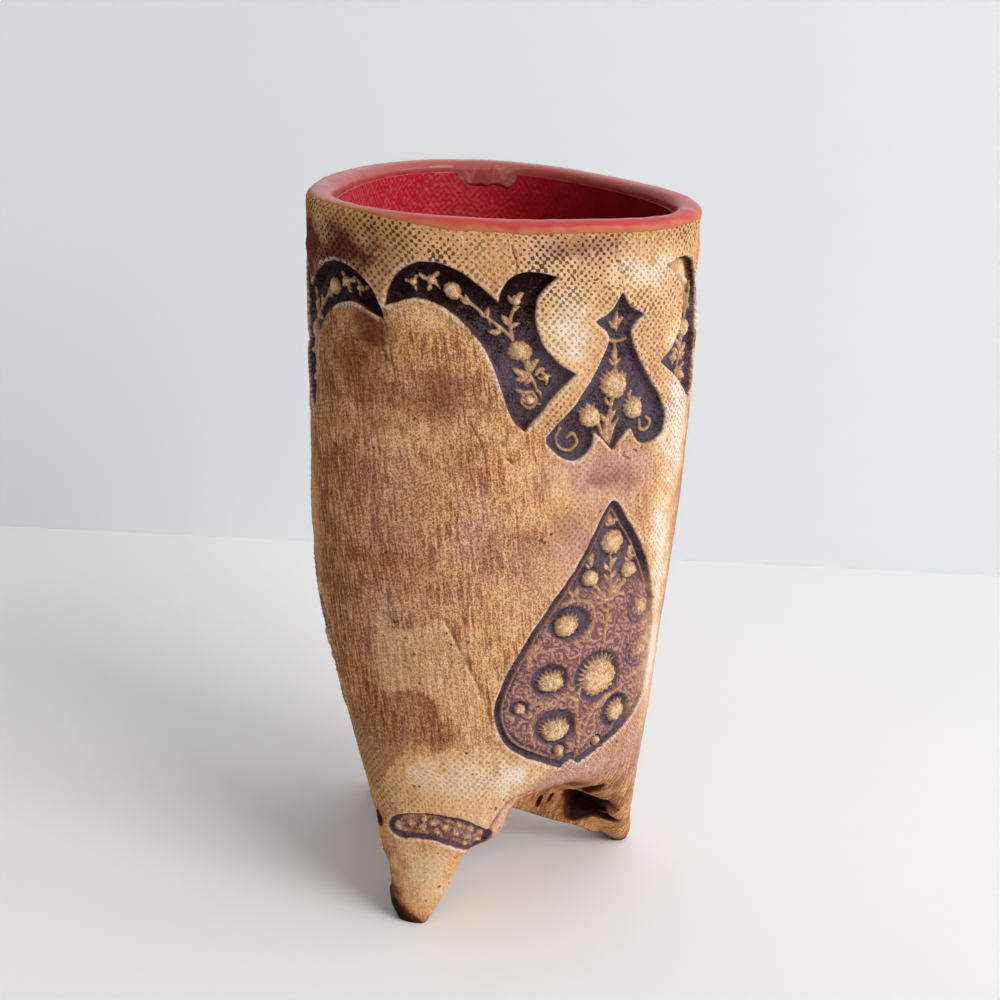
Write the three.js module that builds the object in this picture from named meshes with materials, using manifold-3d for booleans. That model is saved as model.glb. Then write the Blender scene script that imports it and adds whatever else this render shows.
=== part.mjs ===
import * as THREE from "three";
import { mergeVertices } from "three/addons/utils/BufferGeometryUtils.js";
import Module from "manifold-3d";

// A tall art pottery vase, hand built from clay slabs, standing on three pinched feet.
// Three wall panels stand edge to edge on joints that run down to the feet. Between the feet each
// side is pushed in and its lower edge is folded under as a gusset, and the gussets meet on three
// keels that run from the middle of the base out to the toes. Carved blocks are pressed into the
// walls: pairs of horned arches, spades and teardrops, with their main flowers left standing. A red
// glaze lines the inside and rolls over the lip.
// Millimetres, +Z up, on the ground at z = 0, with the front foot towards -Y.

const wasm = await Module();
wasm.setup();

// Heights
const vaseHeight = 200;
const bellyHeight = 140;
const chestHeight = 100;
const kneeHeight = 60;
const ankleHeight = 20;
const archHeight = 36;
const footHeight = 14;

// Radius down a corner of the rounded triangle, where the panels join above a foot
const rimCornerRadius = 55.2;
const bellyCornerRadius = 55.2;
const chestCornerRadius = 53.4;
const kneeCornerRadius = 50.4;
const ankleCornerRadius = 48.2;
const toeRadius = 49.5;

// Radius down the middle of a side, between two feet
const rimSideRadius = 49.4;
const bellySideRadius = 48.6;
const chestSideRadius = 48.3;
const kneeSideRadius = 45.5;
const archSideRadius = 42.5;

// How much deeper each side is pushed in at its arch than the side radius says
const rightSidePush = 0;
const rearSidePush = 9;
const leftSidePush = 19;
const pushTop = 95;

// The whole pot turns and leans a little from the ground to the rim
const rimTwist = 29;
const rimLean = 1.6;

// The right foot is set a little further round than a third of a turn
const strayFootAngle = 120;
const strayFootTurn = 6;
const strayFootSpread = 45;
const strayFootTop = 80;

// The folded edge between two feet
const toeHalfAngle = 4;
const archHalfAngle = 40;
const archRoundness = 1.1;
const foldDropAtToe = 28;
const foldDropAtArch = 29;
const tuckRise = 32;
const tuckRound = 10;
const tuckEase = 0.7;

// Keels under the base
const keelReach = 43;
const keelMiddleHeight = 20;
const keelHalfWidth = 5;
const keelBlendAngle = 15;
const keelSpread = 1.2;

// Clay floor above the keels
const floorReach = 34;
const floorAtToe = 6;
const floorAtMiddle = 14;
const floorCrown = 12;
const floorWallPull = 0.25;
const floorWallSink = 0.45;
const floorValleyPull = 0.35;

// Block stamps, drawn on the wall unrolled at one radius, as [millimetres round from the front foot,
// height]. An outline is a list of curved stretches that meet at corners, and a flower has a radius too.
const unrollRadius = 52;
const stampDepth = 1.7;
const flowerRise = 1.1;
const archCusp = 13.3;
const archTwinDrops = [3.5, -1];
const archTurns = [0, 125.5];
const archOutline = [
  [[14, 177], [18, 185.5], [27, 188.8], [36, 185], [42.5, 179]],
  [[42.5, 179], [47, 186], [59.5, 186]],
  [[59.5, 186], [52.5, 179], [54, 168], [62.5, 160.5]],
  [[62.5, 160.5], [46.5, 146]],
  [[46.5, 146], [40, 162], [28, 178], [14, 177]],
];
const archFlowers = [[31, 181.6, 2.2], [47.6, 166.5, 3]];
const spadeTurns = [0, 129, 204.2];
const spadeOutline = [
  [[77.5, 181.2], [83.8, 174.8]],
  [[83.8, 174.8], [79.8, 168.5]],
  [[79.8, 168.5], [90, 150], [86, 139.4], [78.5, 144.6]],
  [[78.5, 144.6], [72.5, 139.3]],
  [[72.5, 139.3], [66.5, 145]],
  [[66.5, 145], [60, 137.4], [53, 143.3]],
  [[53, 143.3], [66, 157], [72.7, 168.5]],
  [[72.7, 168.5], [69.4, 174]],
  [[69.4, 174], [77.5, 181.2]],
];
const spadeFlowers = [[74.9, 156.1, 3.9], [67, 148.1, 3], [81, 149.1, 3]];
const tearTurns = [0, 108.9, 211.9];
const tearOutline = [
  [[57, 47.6], [84, 55.5], [92, 75], [84, 107], [72.5, 124.6]],
  [[72.5, 124.6], [60, 107.5], [40, 83], [33, 59], [57, 47.6]],
];
const tearFlowers = [
  [72.9, 112.2, 3.7], [64.9, 102.6, 2.7], [79.2, 102.7, 2.7], [56.4, 89.4, 3.6], [85.5, 90.2, 2.8], [50.9, 72.9, 3.8],
  [68.8, 71.4, 6], [87, 76.2, 2.9], [52.1, 57.6, 4.2], [76.8, 58.5, 3.5],
];

// Clay and glaze thickness
const wallThickness = 6.5;
const lipRise = 3.2;
const glazeThickness = 0.8;
const rimSkirt = 2.6;
const jointGap = 0.3;

// Mesh fineness
const columnStep = 6;
const footColumnStep = 3;
const wallRows = 9;
const foldRows = 8;
const lipSteps = 6;
const weldDistance = 1e-3;
const slopeStep = 1;
const cutOverlap = 3;
const stampFineness = 10;
const stampCurveSteps = 2;
const flowerSides = 8;

const footAngles = [0, 120, 240];
const footNames = ["front", "right", "rear"];
const sideNames = ["right", "rear", "left"];
const sidePushes = [rightSidePush, rearSidePush, leftSidePush];
const sideSpan = 360 / footAngles.length;
const middleAngle = sideSpan / 2;
const keelSlant = 1 / Math.tan(THREE.MathUtils.degToRad(middleAngle));

const glazeSeat = glazeThickness + jointGap;
const lipBase = vaseHeight - glazeSeat - lipRise;
const skirtBase = lipBase - rimSkirt;
const foldRise = footHeight + jointGap;

const cornerStations = [
  [0, toeRadius],
  [ankleHeight, ankleCornerRadius],
  [kneeHeight, kneeCornerRadius],
  [chestHeight, chestCornerRadius],
  [bellyHeight, bellyCornerRadius],
  [vaseHeight, rimCornerRadius],
];
const sideStations = [
  [archHeight, archSideRadius],
  [kneeHeight, kneeSideRadius],
  [chestHeight, chestSideRadius],
  [bellyHeight, bellySideRadius],
  [vaseHeight, rimSideRadius],
];

// A smooth curve through [height, radius] stations, straight beyond the lowest one
function radiusAt(stations, height) {
  const last = stations.length - 1;
  const slopeAt = (index) => {
    const [lowHeight, lowRadius] = stations[Math.max(index - 1, 0)];
    const [highHeight, highRadius] = stations[Math.min(index + 1, last)];
    return (highRadius - lowRadius) / (highHeight - lowHeight);
  };
  if (height < stations[0][0]) {
    return stations[0][1] + (height - stations[0][0]) * slopeAt(0);
  }
  let index = 0;
  while (index < last - 1 && height > stations[index + 1][0]) {
    index += 1;
  }
  const [startHeight, startRadius] = stations[index];
  const [endHeight, endRadius] = stations[index + 1];
  const span = endHeight - startHeight;
  const t = (height - startHeight) / span;
  const blend = t * t * (3 - 2 * t);
  const startSlope = t * (1 - t) * (1 - t) * span * slopeAt(index);
  const endSlope = t * t * (t - 1) * span * slopeAt(index + 1);
  return startRadius + (endRadius - startRadius) * blend + startSlope + endSlope;
}

function wrapAngle(angle) {
  return ((angle % 360) + 360) % 360;
}

// Angle to the nearest foot, from 0 over a foot to 60 in the middle of a side
function angleFromFoot(angle) {
  const within = wrapAngle(angle) % sideSpan;
  return Math.min(within, sideSpan - within);
}

// 0 over a foot and 1 in the middle of a side
function sideShare(angle) {
  return Math.sin((Math.PI / 2) * (angleFromFoot(angle) / middleAngle)) ** 2;
}

function wallRadius(angle, height) {
  const side = Math.floor(wrapAngle(angle) / sideSpan) % footAngles.length;
  const depth = Math.max(0, pushTop - height) / (pushTop - archHeight);
  const sideRadius = radiusAt(sideStations, height) - sidePushes[side] * depth ** 2;
  const cornerRadius = radiusAt(cornerStations, height);
  return cornerRadius + (sideRadius - cornerRadius) * sideShare(angle);
}

// Height of the folded edge: 0 across a toe, rising to the arch between two feet
function edgeHeight(angle) {
  const climb = (angleFromFoot(angle) - toeHalfAngle) / (archHalfAngle - toeHalfAngle);
  const share = THREE.MathUtils.clamp(climb, 0, 1);
  return archHeight * Math.sin((Math.PI / 2) * share) ** archRoundness;
}

// Where the wall ends and the fold begins
function foldHeight(angle) {
  return edgeHeight(angle) + foldRise;
}

function polarPoint(angle, radius, height) {
  const turn = THREE.MathUtils.degToRad(angle);
  return new THREE.Vector3(radius * Math.sin(turn), -radius * Math.cos(turn), height);
}

function wallPoint(angle, height, inset = 0) {
  return polarPoint(angle, wallRadius(angle, height) - inset, height);
}

// A point beside the nearest keel, closing on the middle of the base as the angle leaves the foot
function keelPoint(angle, reach, halfWidth) {
  const footAngle = Math.round(angle / sideSpan) * sideSpan;
  const share = (angleFromFoot(angle) / middleAngle) ** keelSpread;
  const innerEnd = halfWidth * keelSlant;
  const along = polarPoint(footAngle, innerEnd + (reach - innerEnd) * (1 - share), 0);
  const beside = polarPoint(footAngle + 90, halfWidth * Math.sign(angle - footAngle), 0);
  return along.add(beside);
}

function keelHeight(distance) {
  return keelMiddleHeight * (1 - distance / toeRadius);
}

function keelEdge(angle, halfWidth) {
  const edge = keelPoint(angle, keelReach, halfWidth);
  edge.z = keelHeight(Math.hypot(edge.x, edge.y));
  return edge;
}

// The keel narrows to nothing at the toe
function keelHalfWidthAt(angle) {
  const share = Math.min(1, angleFromFoot(angle) / keelBlendAngle);
  return keelHalfWidth * Math.sin((Math.PI / 2) * share);
}

// The underside of the fold, from the wall's lower end to the keel
function foldCurve(angle, start) {
  const wallEnd = wallPoint(angle, start);
  const down = wallPoint(angle, start - slopeStep).sub(wallEnd).normalize();
  const share = sideShare(angle);
  const keel = keelEdge(angle, keelHalfWidthAt(angle));
  const outward = wallEnd.clone().sub(keel).setZ(0).normalize();
  const drop = foldDropAtToe + (foldDropAtArch - foldDropAtToe) * share;
  const wallPull = wallEnd.clone().addScaledVector(down, drop);
  const keelPull = keel.clone().addScaledVector(outward, tuckRound * share);
  keelPull.z += tuckRise * share ** tuckEase;
  return new THREE.CubicBezierCurve3(wallEnd, wallPull, keelPull, keel);
}

// The clay floor inside, from the wall's inner face to the valley above the keel
function floorCurve(angle, start, inset, halfWidth) {
  const wallEnd = wallPoint(angle, start, wallThickness + inset);
  const share = sideShare(angle);
  const valley = keelPoint(angle, floorReach, halfWidth);
  const floor = floorAtToe + (floorAtMiddle - floorAtToe) * share;
  valley.z = Math.max(keelHeight(Math.hypot(valley.x, valley.y)) + floor, footHeight) + inset;
  const wallPull = wallEnd.clone().lerp(valley, floorWallPull);
  wallPull.z = THREE.MathUtils.lerp(wallEnd.z, valley.z, floorWallSink * (1 - share));
  const valleyPull = valley.clone().lerp(wallEnd, floorValleyPull);
  valleyPull.z = valley.z + floorCrown * share;
  return new THREE.CubicBezierCurve3(wallEnd, wallPull, valleyPull, valley);
}

function wallHeights(angle, top) {
  const start = foldHeight(angle);
  const heights = [];
  for (let row = 0; row <= wallRows; row += 1) {
    heights.push(THREE.MathUtils.lerp(start, top, row / wallRows));
  }
  return heights;
}

// A half round over the lip, from the outside to the inside, standing clear of the clay by a margin
function lipArc(angle, margin) {
  const points = [];
  const halfLip = (wallThickness - glazeSeat) / 2;
  const middle = wallRadius(angle, lipBase) - glazeSeat - halfLip;
  for (let step = 1; step < lipSteps; step += 1) {
    const turn = (Math.PI * step) / lipSteps;
    const radius = middle + (halfLip + margin) * Math.cos(turn);
    points.push(polarPoint(angle, radius, lipBase + (lipRise + margin) * Math.sin(turn)));
  }
  return points;
}

// Twist and lean, which leave every height as it is
function settle(point) {
  const share = point.z / vaseHeight;
  const angle = THREE.MathUtils.radToDeg(Math.atan2(point.x, -point.y));
  const away = Math.abs(wrapAngle(angle - strayFootAngle + 180) - 180);
  const near = THREE.MathUtils.smoothstep(strayFootSpread - away, 0, strayFootSpread);
  const stray = strayFootTurn * near * THREE.MathUtils.smoothstep(strayFootTop - point.z, 0, strayFootTop);
  point.applyAxisAngle(new THREE.Vector3(0, 0, 1), THREE.MathUtils.degToRad(stray - rimTwist * share));
  point.x -= rimLean * share;
  return point;
}

// Triangles between rows of points that all have the same count
function stitch(triangles, rows, closed) {
  const rowCount = closed ? rows.length : rows.length - 1;
  for (let row = 0; row < rowCount; row += 1) {
    const here = rows[row];
    const next = rows[(row + 1) % rows.length];
    for (let index = 0; index + 1 < here.length; index += 1) {
      triangles.push([here[index], next[index], next[index + 1]]);
      triangles.push([here[index], next[index + 1], here[index + 1]]);
    }
  }
}

// One closed body from triangles of points, welded and turned to face outwards
function closedBody(triangles) {
  const positions = triangles.flat().flatMap((point) => point.toArray());
  let geometry = new THREE.BufferGeometry();
  geometry.setAttribute("position", new THREE.Float32BufferAttribute(positions, 3));
  geometry = mergeVertices(geometry, weldDistance);
  const kept = [];
  const index = geometry.index.array;
  const position = geometry.attributes.position;
  let volume = 0;
  const corner = [new THREE.Vector3(), new THREE.Vector3(), new THREE.Vector3()];
  for (let first = 0; first < index.length; first += 3) {
    const face = [index[first], index[first + 1], index[first + 2]];
    if (new Set(face).size === 3) {
      kept.push(face);
      face.forEach((vertex, place) => corner[place].fromBufferAttribute(position, vertex));
      volume += corner[0].dot(corner[1].clone().cross(corner[2]));
    }
  }
  geometry.setIndex(kept.flatMap((face) => (volume < 0 ? face.reverse() : face)));
  return geometry;
}

// Triangles that fill a thin outline, back and forth between its two long sides
function capFaces(outline) {
  const faces = [];
  for (let first = 0, last = outline.length - 1; first + 1 < last; first += 1, last -= 1) {
    faces.push([outline[first], outline[first + 1], outline[last]]);
    if (first + 2 < last) {
      faces.push([outline[first + 1], outline[last - 1], outline[last]]);
    }
  }
  return faces;
}

// A body swept through closed outlines and capped at both ends
function sweptBody(outlines) {
  const triangles = [];
  stitch(triangles, outlines.map((outline) => [...outline, outline[0]]), false);
  triangles.push(...capFaces(outlines[0]));
  triangles.push(...capFaces(outlines[outlines.length - 1]).map((face) => face.reverse()));
  return closedBody(triangles);
}

function toSolid(geometry) {
  return new wasm.Manifold(new wasm.Mesh({
    numProp: 3,
    vertProperties: new Float32Array(geometry.attributes.position.array),
    triVerts: new Uint32Array(geometry.index.array),
  }));
}

function toGeometry(solid) {
  const mesh = solid.getMesh();
  const geometry = new THREE.BufferGeometry();
  geometry.setAttribute("position", new THREE.Float32BufferAttribute(mesh.vertProperties, 3));
  geometry.setIndex(Array.from(mesh.triVerts));
  return geometry;
}

// A slab of space between two heights, wider than the pot
function levelSlab(bottom, top) {
  const width = 2 * (rimCornerRadius + bellyCornerRadius + toeRadius);
  const box = new THREE.BoxGeometry(width, width, top - bottom);
  box.translate(0, 0, (top + bottom) / 2);
  box.deleteAttribute("normal");
  box.deleteAttribute("uv");
  return toSolid(mergeVertices(box));
}

function columnAngles(start, end) {
  const angles = [start];
  const first = Math.floor(start / columnStep) * columnStep + columnStep;
  for (let angle = first; angle < end - columnStep / 4; angle += columnStep) {
    angles.push(angle);
  }
  angles.push(end);
  return angles;
}

// A closed outline from its stretches, with a few points along each bend
function stampOutline(stretches) {
  return stretches.flatMap((stretch) => {
    const curve = new THREE.SplineCurve(stretch.map(([along, height]) => new THREE.Vector2(along, height)));
    const steps = stretch.length === 2 ? 1 : (stretch.length - 1) * stampCurveSteps;
    return curve.getPoints(steps).slice(0, -1).map((point) => point.toArray());
  });
}

// The clay that one stamp pushes in: its outline without its flowers, wrapped on the wall at a place
function stampCut(stretches, flowers, place) {
  const press = new wasm.CrossSection([stampOutline(stretches)], "NonZero").extrude(stampDepth + cutOverlap);
  const standing = flowers.map(([along, height, radius]) =>
    wasm.Manifold.cylinder(flowerRise, radius, radius, flowerSides).translate([along, height, 0]));
  const cut = standing.reduce((left, flower) => left.subtract(flower), press);
  return cut.refineToLength(stampFineness).warp((vertex) => {
    const [along, height] = place(vertex[0], vertex[1]);
    const angle = THREE.MathUtils.radToDeg(along / unrollRadius);
    settle(wallPoint(angle, height, stampDepth - vertex[2])).toArray(vertex);
  });
}

// An arch is two horns: the left one is the right one turned over at the cusp, and sits at its own height
function turnedOver(points) {
  return points.map(([along, ...rest]) => [2 * archCusp - along, ...rest]);
}

// A settled clay body with every stamp pressed into it
function pressed(body) {
  const shifted = (turn, drop = 0) => (along, height) => [along + turn, height - drop];
  const leftOutline = archOutline.map(turnedOver);
  const leftFlowers = turnedOver(archFlowers);
  const cuts = [
    ...archTurns.map((turn) => stampCut(archOutline, archFlowers, shifted(turn))),
    ...archTurns.map((turn, arch) => stampCut(leftOutline, leftFlowers, shifted(turn, archTwinDrops[arch]))),
    ...spadeTurns.map((turn) => stampCut(spadeOutline, spadeFlowers, shifted(turn))),
    ...tearTurns.map((turn) => stampCut(tearOutline, tearFlowers, shifted(turn))),
  ];
  const settledBody = body.warp((vertex) => settle(new THREE.Vector3(...vertex)).toArray(vertex));
  return cuts.reduce((left, cut) => left.subtract(cut), settledBody);
}

// A wall panel from the fold up to the rounded lip, which is cut back where the glaze sits on it
function wallPanel(side) {
  const seamAngle = THREE.MathUtils.radToDeg(jointGap / 2 / ankleCornerRadius);
  const start = footAngles[side] + seamAngle;
  const outlines = columnAngles(start, footAngles[side] + sideSpan - seamAngle).map((angle) => {
    const outside = wallHeights(angle, skirtBase - jointGap).map((height) => wallPoint(angle, height));
    const seat = [skirtBase - jointGap, lipBase].map((height) => wallPoint(angle, height, glazeSeat));
    const inside = wallHeights(angle, lipBase).map((height) => wallPoint(angle, height, wallThickness));
    return [...outside, ...seat, ...lipArc(angle, 0), ...inside.reverse()];
  });
  return toGeometry(pressed(toSolid(sweptBody(outlines))));
}

// The folded gusset below a panel, down to the top of the feet
function baseGusset(side) {
  const start = footAngles[side] + columnStep;
  const outlines = columnAngles(start, footAngles[side] + sideSpan - columnStep).map((angle) => {
    const top = foldHeight(angle) - jointGap;
    const under = foldCurve(angle, top).getPoints(foldRows);
    const over = floorCurve(angle, top, 0, jointGap / 2).getPoints(foldRows).reverse();
    return [...under, keelEdge(angle, jointGap / 2), ...over];
  });
  const body = toSolid(sweptBody(outlines));
  return toGeometry(pressed(body.subtract(levelSlab(-cutOverlap - keelMiddleHeight, foldRise))));
}

// A solid foot with its keel, flat where it stands and where the clay above it rests
function foot(number) {
  const reach = Math.round(middleAngle / footColumnStep);
  const columns = [];
  for (let step = -reach; step <= reach; step += 1) {
    const angle = footAngles[number] + step * footColumnStep;
    const start = foldHeight(angle);
    columns.push([wallPoint(angle, start + cutOverlap), ...foldCurve(angle, start).getPoints(foldRows)]);
  }
  const triangles = [];
  stitch(triangles, columns, true);
  for (let step = 0; step < reach; step += 1) {
    const [left, leftNext] = [columns[reach - step], columns[reach - step - 1]];
    const [right, rightNext] = [columns[reach + step], columns[reach + step + 1]];
    const end = left.length - 1;
    stitch(triangles, [[left[0], right[0]], [leftNext[0], rightNext[0]]], false);
    stitch(triangles, [[right[end], left[end]], [rightNext[end], leftNext[end]]], false);
  }
  return toGeometry(toSolid(closedBody(triangles)).intersect(levelSlab(0, footHeight)));
}

// One face of the lining, from below the lip down to the floor
function liningRows(inset) {
  const rows = [];
  for (let angle = 0; angle < 360; angle += columnStep) {
    const heights = wallHeights(angle, lipBase).reverse();
    const wall = heights.map((height) => wallPoint(angle, height, wallThickness + inset));
    const floor = floorCurve(angle, foldHeight(angle), inset, 0).getPoints(foldRows).slice(1);
    rows.push([...wall, ...floor]);
  }
  return rows;
}

function linerGlaze() {
  const outer = liningRows(jointGap);
  const inner = liningRows(glazeSeat);
  const triangles = [];
  stitch(triangles, outer, true);
  stitch(triangles, inner.map((row) => [...row].reverse()), true);
  stitch(triangles, outer.map((row, number) => [inner[number][0], row[0]]), true);
  return closedBody(triangles);
}

// The glaze that rolls over the lip, flush with the wall below its skirt
function rimGlaze() {
  const outlines = [];
  for (let angle = 0; angle < 360; angle += columnStep) {
    const outside = [skirtBase, lipBase].map((height) => wallPoint(angle, height));
    const within = [lipBase, skirtBase].map((height) => wallPoint(angle, height, glazeThickness));
    const clayEdge = wallRadius(angle, lipBase) - wallThickness;
    const tailHeight = lipBase + jointGap;
    const tail = [glazeSeat, jointGap].map((inset) => polarPoint(angle, clayEdge - inset, tailHeight));
    const seat = lipArc(angle, jointGap).reverse();
    outlines.push([...outside, ...lipArc(angle, glazeSeat), ...tail, ...seat, ...within]);
  }
  const triangles = [];
  stitch(triangles, outlines.map((outline) => [...outline, outline[0]]), true);
  return closedBody(triangles);
}

const stampedClay = new THREE.MeshStandardMaterial({ color: 0xb98a5c, roughness: 0.85, metalness: 0 });
const foldedClay = new THREE.MeshStandardMaterial({ color: 0xa9744e, roughness: 0.85, metalness: 0 });
const footClay = new THREE.MeshStandardMaterial({ color: 0x8a5f3c, roughness: 0.8, metalness: 0 });
const redGlaze = new THREE.MeshStandardMaterial({ color: 0x8e1420, roughness: 0.2, metalness: 0 });
const roseGlaze = new THREE.MeshStandardMaterial({ color: 0xc06a62, roughness: 0.3, metalness: 0 });

const vase = new THREE.Group();

function settled(geometry) {
  const position = geometry.attributes.position;
  const point = new THREE.Vector3();
  for (let vertex = 0; vertex < position.count; vertex += 1) {
    settle(point.fromBufferAttribute(position, vertex));
    position.setXYZ(vertex, point.x, point.y, point.z);
  }
  return geometry;
}

function addPiece(name, geometry, material) {
  geometry.computeVertexNormals();
  const mesh = new THREE.Mesh(geometry, material);
  mesh.name = name;
  vase.add(mesh);
}

sideNames.forEach((name, side) => addPiece(`wall_panel_${name}`, wallPanel(side), stampedClay));
sideNames.forEach((name, side) => addPiece(`base_gusset_${name}`, baseGusset(side), foldedClay));
footNames.forEach((name, number) => addPiece(`foot_${name}`, settled(foot(number)), footClay));
addPiece("liner_glaze", settled(linerGlaze()), redGlaze);
addPiece("rim_glaze", settled(rimGlaze()), roseGlaze);

// The ground point is under the middle of the pot's own box
const middle = new THREE.Box3().setFromObject(vase).getCenter(new THREE.Vector3());
vase.position.set(-middle.x, -middle.y, 0);

export default vase;
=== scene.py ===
import math

import bpy
import numpy as np
from mathutils import Matrix, Vector


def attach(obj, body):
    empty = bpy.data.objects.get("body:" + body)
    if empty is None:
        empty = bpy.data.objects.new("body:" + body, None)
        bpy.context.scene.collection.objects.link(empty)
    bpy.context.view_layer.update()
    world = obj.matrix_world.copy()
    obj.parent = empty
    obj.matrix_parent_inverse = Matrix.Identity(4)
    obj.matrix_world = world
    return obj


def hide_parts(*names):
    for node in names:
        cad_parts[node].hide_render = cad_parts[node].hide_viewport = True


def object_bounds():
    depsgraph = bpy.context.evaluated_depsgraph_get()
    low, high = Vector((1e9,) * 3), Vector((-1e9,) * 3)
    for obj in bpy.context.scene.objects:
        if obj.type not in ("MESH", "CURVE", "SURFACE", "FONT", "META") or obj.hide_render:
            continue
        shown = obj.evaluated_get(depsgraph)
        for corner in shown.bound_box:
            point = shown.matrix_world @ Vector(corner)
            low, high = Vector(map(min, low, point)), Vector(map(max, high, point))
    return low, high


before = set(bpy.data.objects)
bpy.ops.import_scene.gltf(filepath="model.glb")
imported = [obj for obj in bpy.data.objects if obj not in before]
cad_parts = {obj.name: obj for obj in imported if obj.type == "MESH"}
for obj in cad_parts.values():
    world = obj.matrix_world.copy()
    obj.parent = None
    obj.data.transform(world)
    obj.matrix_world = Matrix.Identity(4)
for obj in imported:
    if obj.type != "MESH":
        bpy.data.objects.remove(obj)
cadLow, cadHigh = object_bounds()
bpy.ops.object.select_all(action="DESELECT")
mm = 0.001
print("frame loaded, vase height", round(cadHigh.z / mm), "mm")

# The pot in millimetres, untwisted, with the front foot at angle 0 and angles turning towards +X
pot = {
    "height": cadHigh.z / mm,
    "cornerRadii": [(0, 49.5), (20, 48.2), (60, 50.4), (100, 53.4), (140, 55.2), (200, 55.2)],
    "sideRadii": [(36, 42.5), (60, 45.5), (100, 48.3), (140, 48.6), (200, 49.4)],
    "sidePushes": [0, 9, 19],
    "pushTop": 95,
    "twist": 29,
    "lean": 1.6,
    "strayFoot": {"angle": 120, "turn": 6, "spread": 45, "top": 80},
    "middle": (-1.479, 0.644),
    "archHeight": 36,
    "toeHalfAngle": 4,
    "archHalfAngle": 40,
    "archRoundness": 1.1,
    "foldRise": 14.3,
    "foldDropAtToe": 28,
    "foldDropAtArch": 29,
    "tuckRise": 32,
    "tuckRound": 10,
    "tuckEase": 0.7,
    "toeRadius": 49.5,
    "keelReach": 43,
    "keelMiddleHeight": 20,
    "keelHalfWidth": 5,
    "keelBlendAngle": 15,
    "keelSpread": 1.2,
    "floorReach": 34,
    "floorAtToe": 6,
    "floorAtMiddle": 14,
    "floorCrown": 12,
    "floorSink": 0.3,
    "floorPulls": {"wall": 0.25, "wallDrop": 0.45, "valley": 0.35},
    "underside": (-0.92, -0.55),
    "wall": 6.5,
    "lipBase": 195.7,
    "lipRise": 3.2,
    "lipSquareness": 2.9,
    "lipNarrow": [(104, 13, 1.6), (-38, 42, -0.9)],
    "lipFade": 26,
    "lipWaves": [(225, 100, -0.9), (48, 80, 0.6)],
    "unrollRadius": 52,
}
girth = 2 * math.pi * pot["unrollRadius"]  # length of the unrolled wall
canvasThreads = 312  # round the whole wall
weavePitch = math.pi * canvasThreads / girth
depthReach = 6  # the depth inside a stamp's outline is known this far either way


# Smooth step from 0 at one value to 1 at the other, either way round
def rise(start, end, value):
    t = np.clip((value - start) / (end - start), 0, 1)
    return t * t * (3 - 2 * t)


def mix(first, second, share):
    return first + (second - first) * share


# Degrees between two angles
def angleApart(angle, place):
    return np.abs(np.mod(angle - place + 180, 360) - 180)


# Shares from 0 to 1, as a column of rows
def shares(count):
    return np.linspace(0, 1, count + 1)[:, None]


def profileRadius(stations, height):
    heights, radii = np.array(stations, float).T
    last = len(heights) - 1
    before = np.maximum(np.arange(last + 1) - 1, 0)
    after = np.minimum(np.arange(last + 1) + 1, last)
    slopes = (radii[after] - radii[before]) / (heights[after] - heights[before])
    index = np.clip(np.searchsorted(heights, height) - 1, 0, last - 1)
    span = heights[index + 1] - heights[index]
    t = (height - heights[index]) / span
    curve = mix(radii[index], radii[index + 1], t * t * (3 - 2 * t))
    curve = curve + t * (1 - t) ** 2 * span * slopes[index] + t * t * (t - 1) * span * slopes[index + 1]
    return np.where(height < heights[0], radii[0] + (height - heights[0]) * slopes[0], curve)


def angleFromFoot(angle):
    within = np.mod(angle, 120.0)
    return np.minimum(within, 120 - within)


def sideShare(angle):
    return np.sin(np.pi / 2 * angleFromFoot(angle) / 60) ** 2


def wallRadius(angle, height):
    side = (np.floor(np.mod(angle, 360.0) / 120)).astype(int) % 3
    depth = np.maximum(0, pot["pushTop"] - height) / (pot["pushTop"] - pot["archHeight"])
    flat = profileRadius(pot["sideRadii"], height) - np.take(pot["sidePushes"], side) * depth ** 2
    return mix(profileRadius(pot["cornerRadii"], height), flat, sideShare(angle))


def foldHeight(angle):
    climb = (angleFromFoot(angle) - pot["toeHalfAngle"]) / (pot["archHalfAngle"] - pot["toeHalfAngle"])
    arch = np.sin(np.pi / 2 * np.clip(climb, 0, 1)) ** pot["archRoundness"]
    return pot["archHeight"] * arch + pot["foldRise"]


def polar(angle, radius, height):
    turn = np.radians(angle)
    parts = np.broadcast_arrays(radius * np.sin(turn), -radius * np.cos(turn), height)
    return np.stack(parts, -1).astype(float)


def wallPoint(angle, height, inset=0.0):
    return polar(angle, wallRadius(angle, height) - inset, height)


def unit(vectors):
    return vectors / np.maximum(np.linalg.norm(vectors, axis=-1, keepdims=True), 1e-9)


def bezier(first, second, third, fourth, t):
    t = t[..., None]
    start = (1 - t) ** 3 * first + 3 * (1 - t) ** 2 * t * second
    return start + 3 * (1 - t) * t * t * third + t ** 3 * fourth


def keelLine(distance):
    return pot["keelMiddleHeight"] * (1 - distance / pot["toeRadius"])


# A point beside the nearest keel, closing on the middle of the base away from the foot
def keelPoint(angle, reach, halfWidth):
    footAngle = np.round(angle / 120.0) * 120.0
    share = (angleFromFoot(angle) / 60) ** pot["keelSpread"]
    innerEnd = halfWidth / math.tan(math.radians(60))
    along = polar(footAngle, innerEnd + (reach - innerEnd) * (1 - share), 0.0)
    return along + polar(footAngle + 90, halfWidth * np.sign(angle - footAngle), 0.0)


def keelEdge(angle, narrowing):
    blend = np.minimum(1, angleFromFoot(angle) / pot["keelBlendAngle"])
    halfWidth = pot["keelHalfWidth"] * np.sin(np.pi / 2 * blend)
    edge = keelPoint(angle, pot["keelReach"], halfWidth * narrowing)
    edge[..., 2] = keelLine(np.hypot(edge[..., 0], edge[..., 1]))
    return edge


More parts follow.
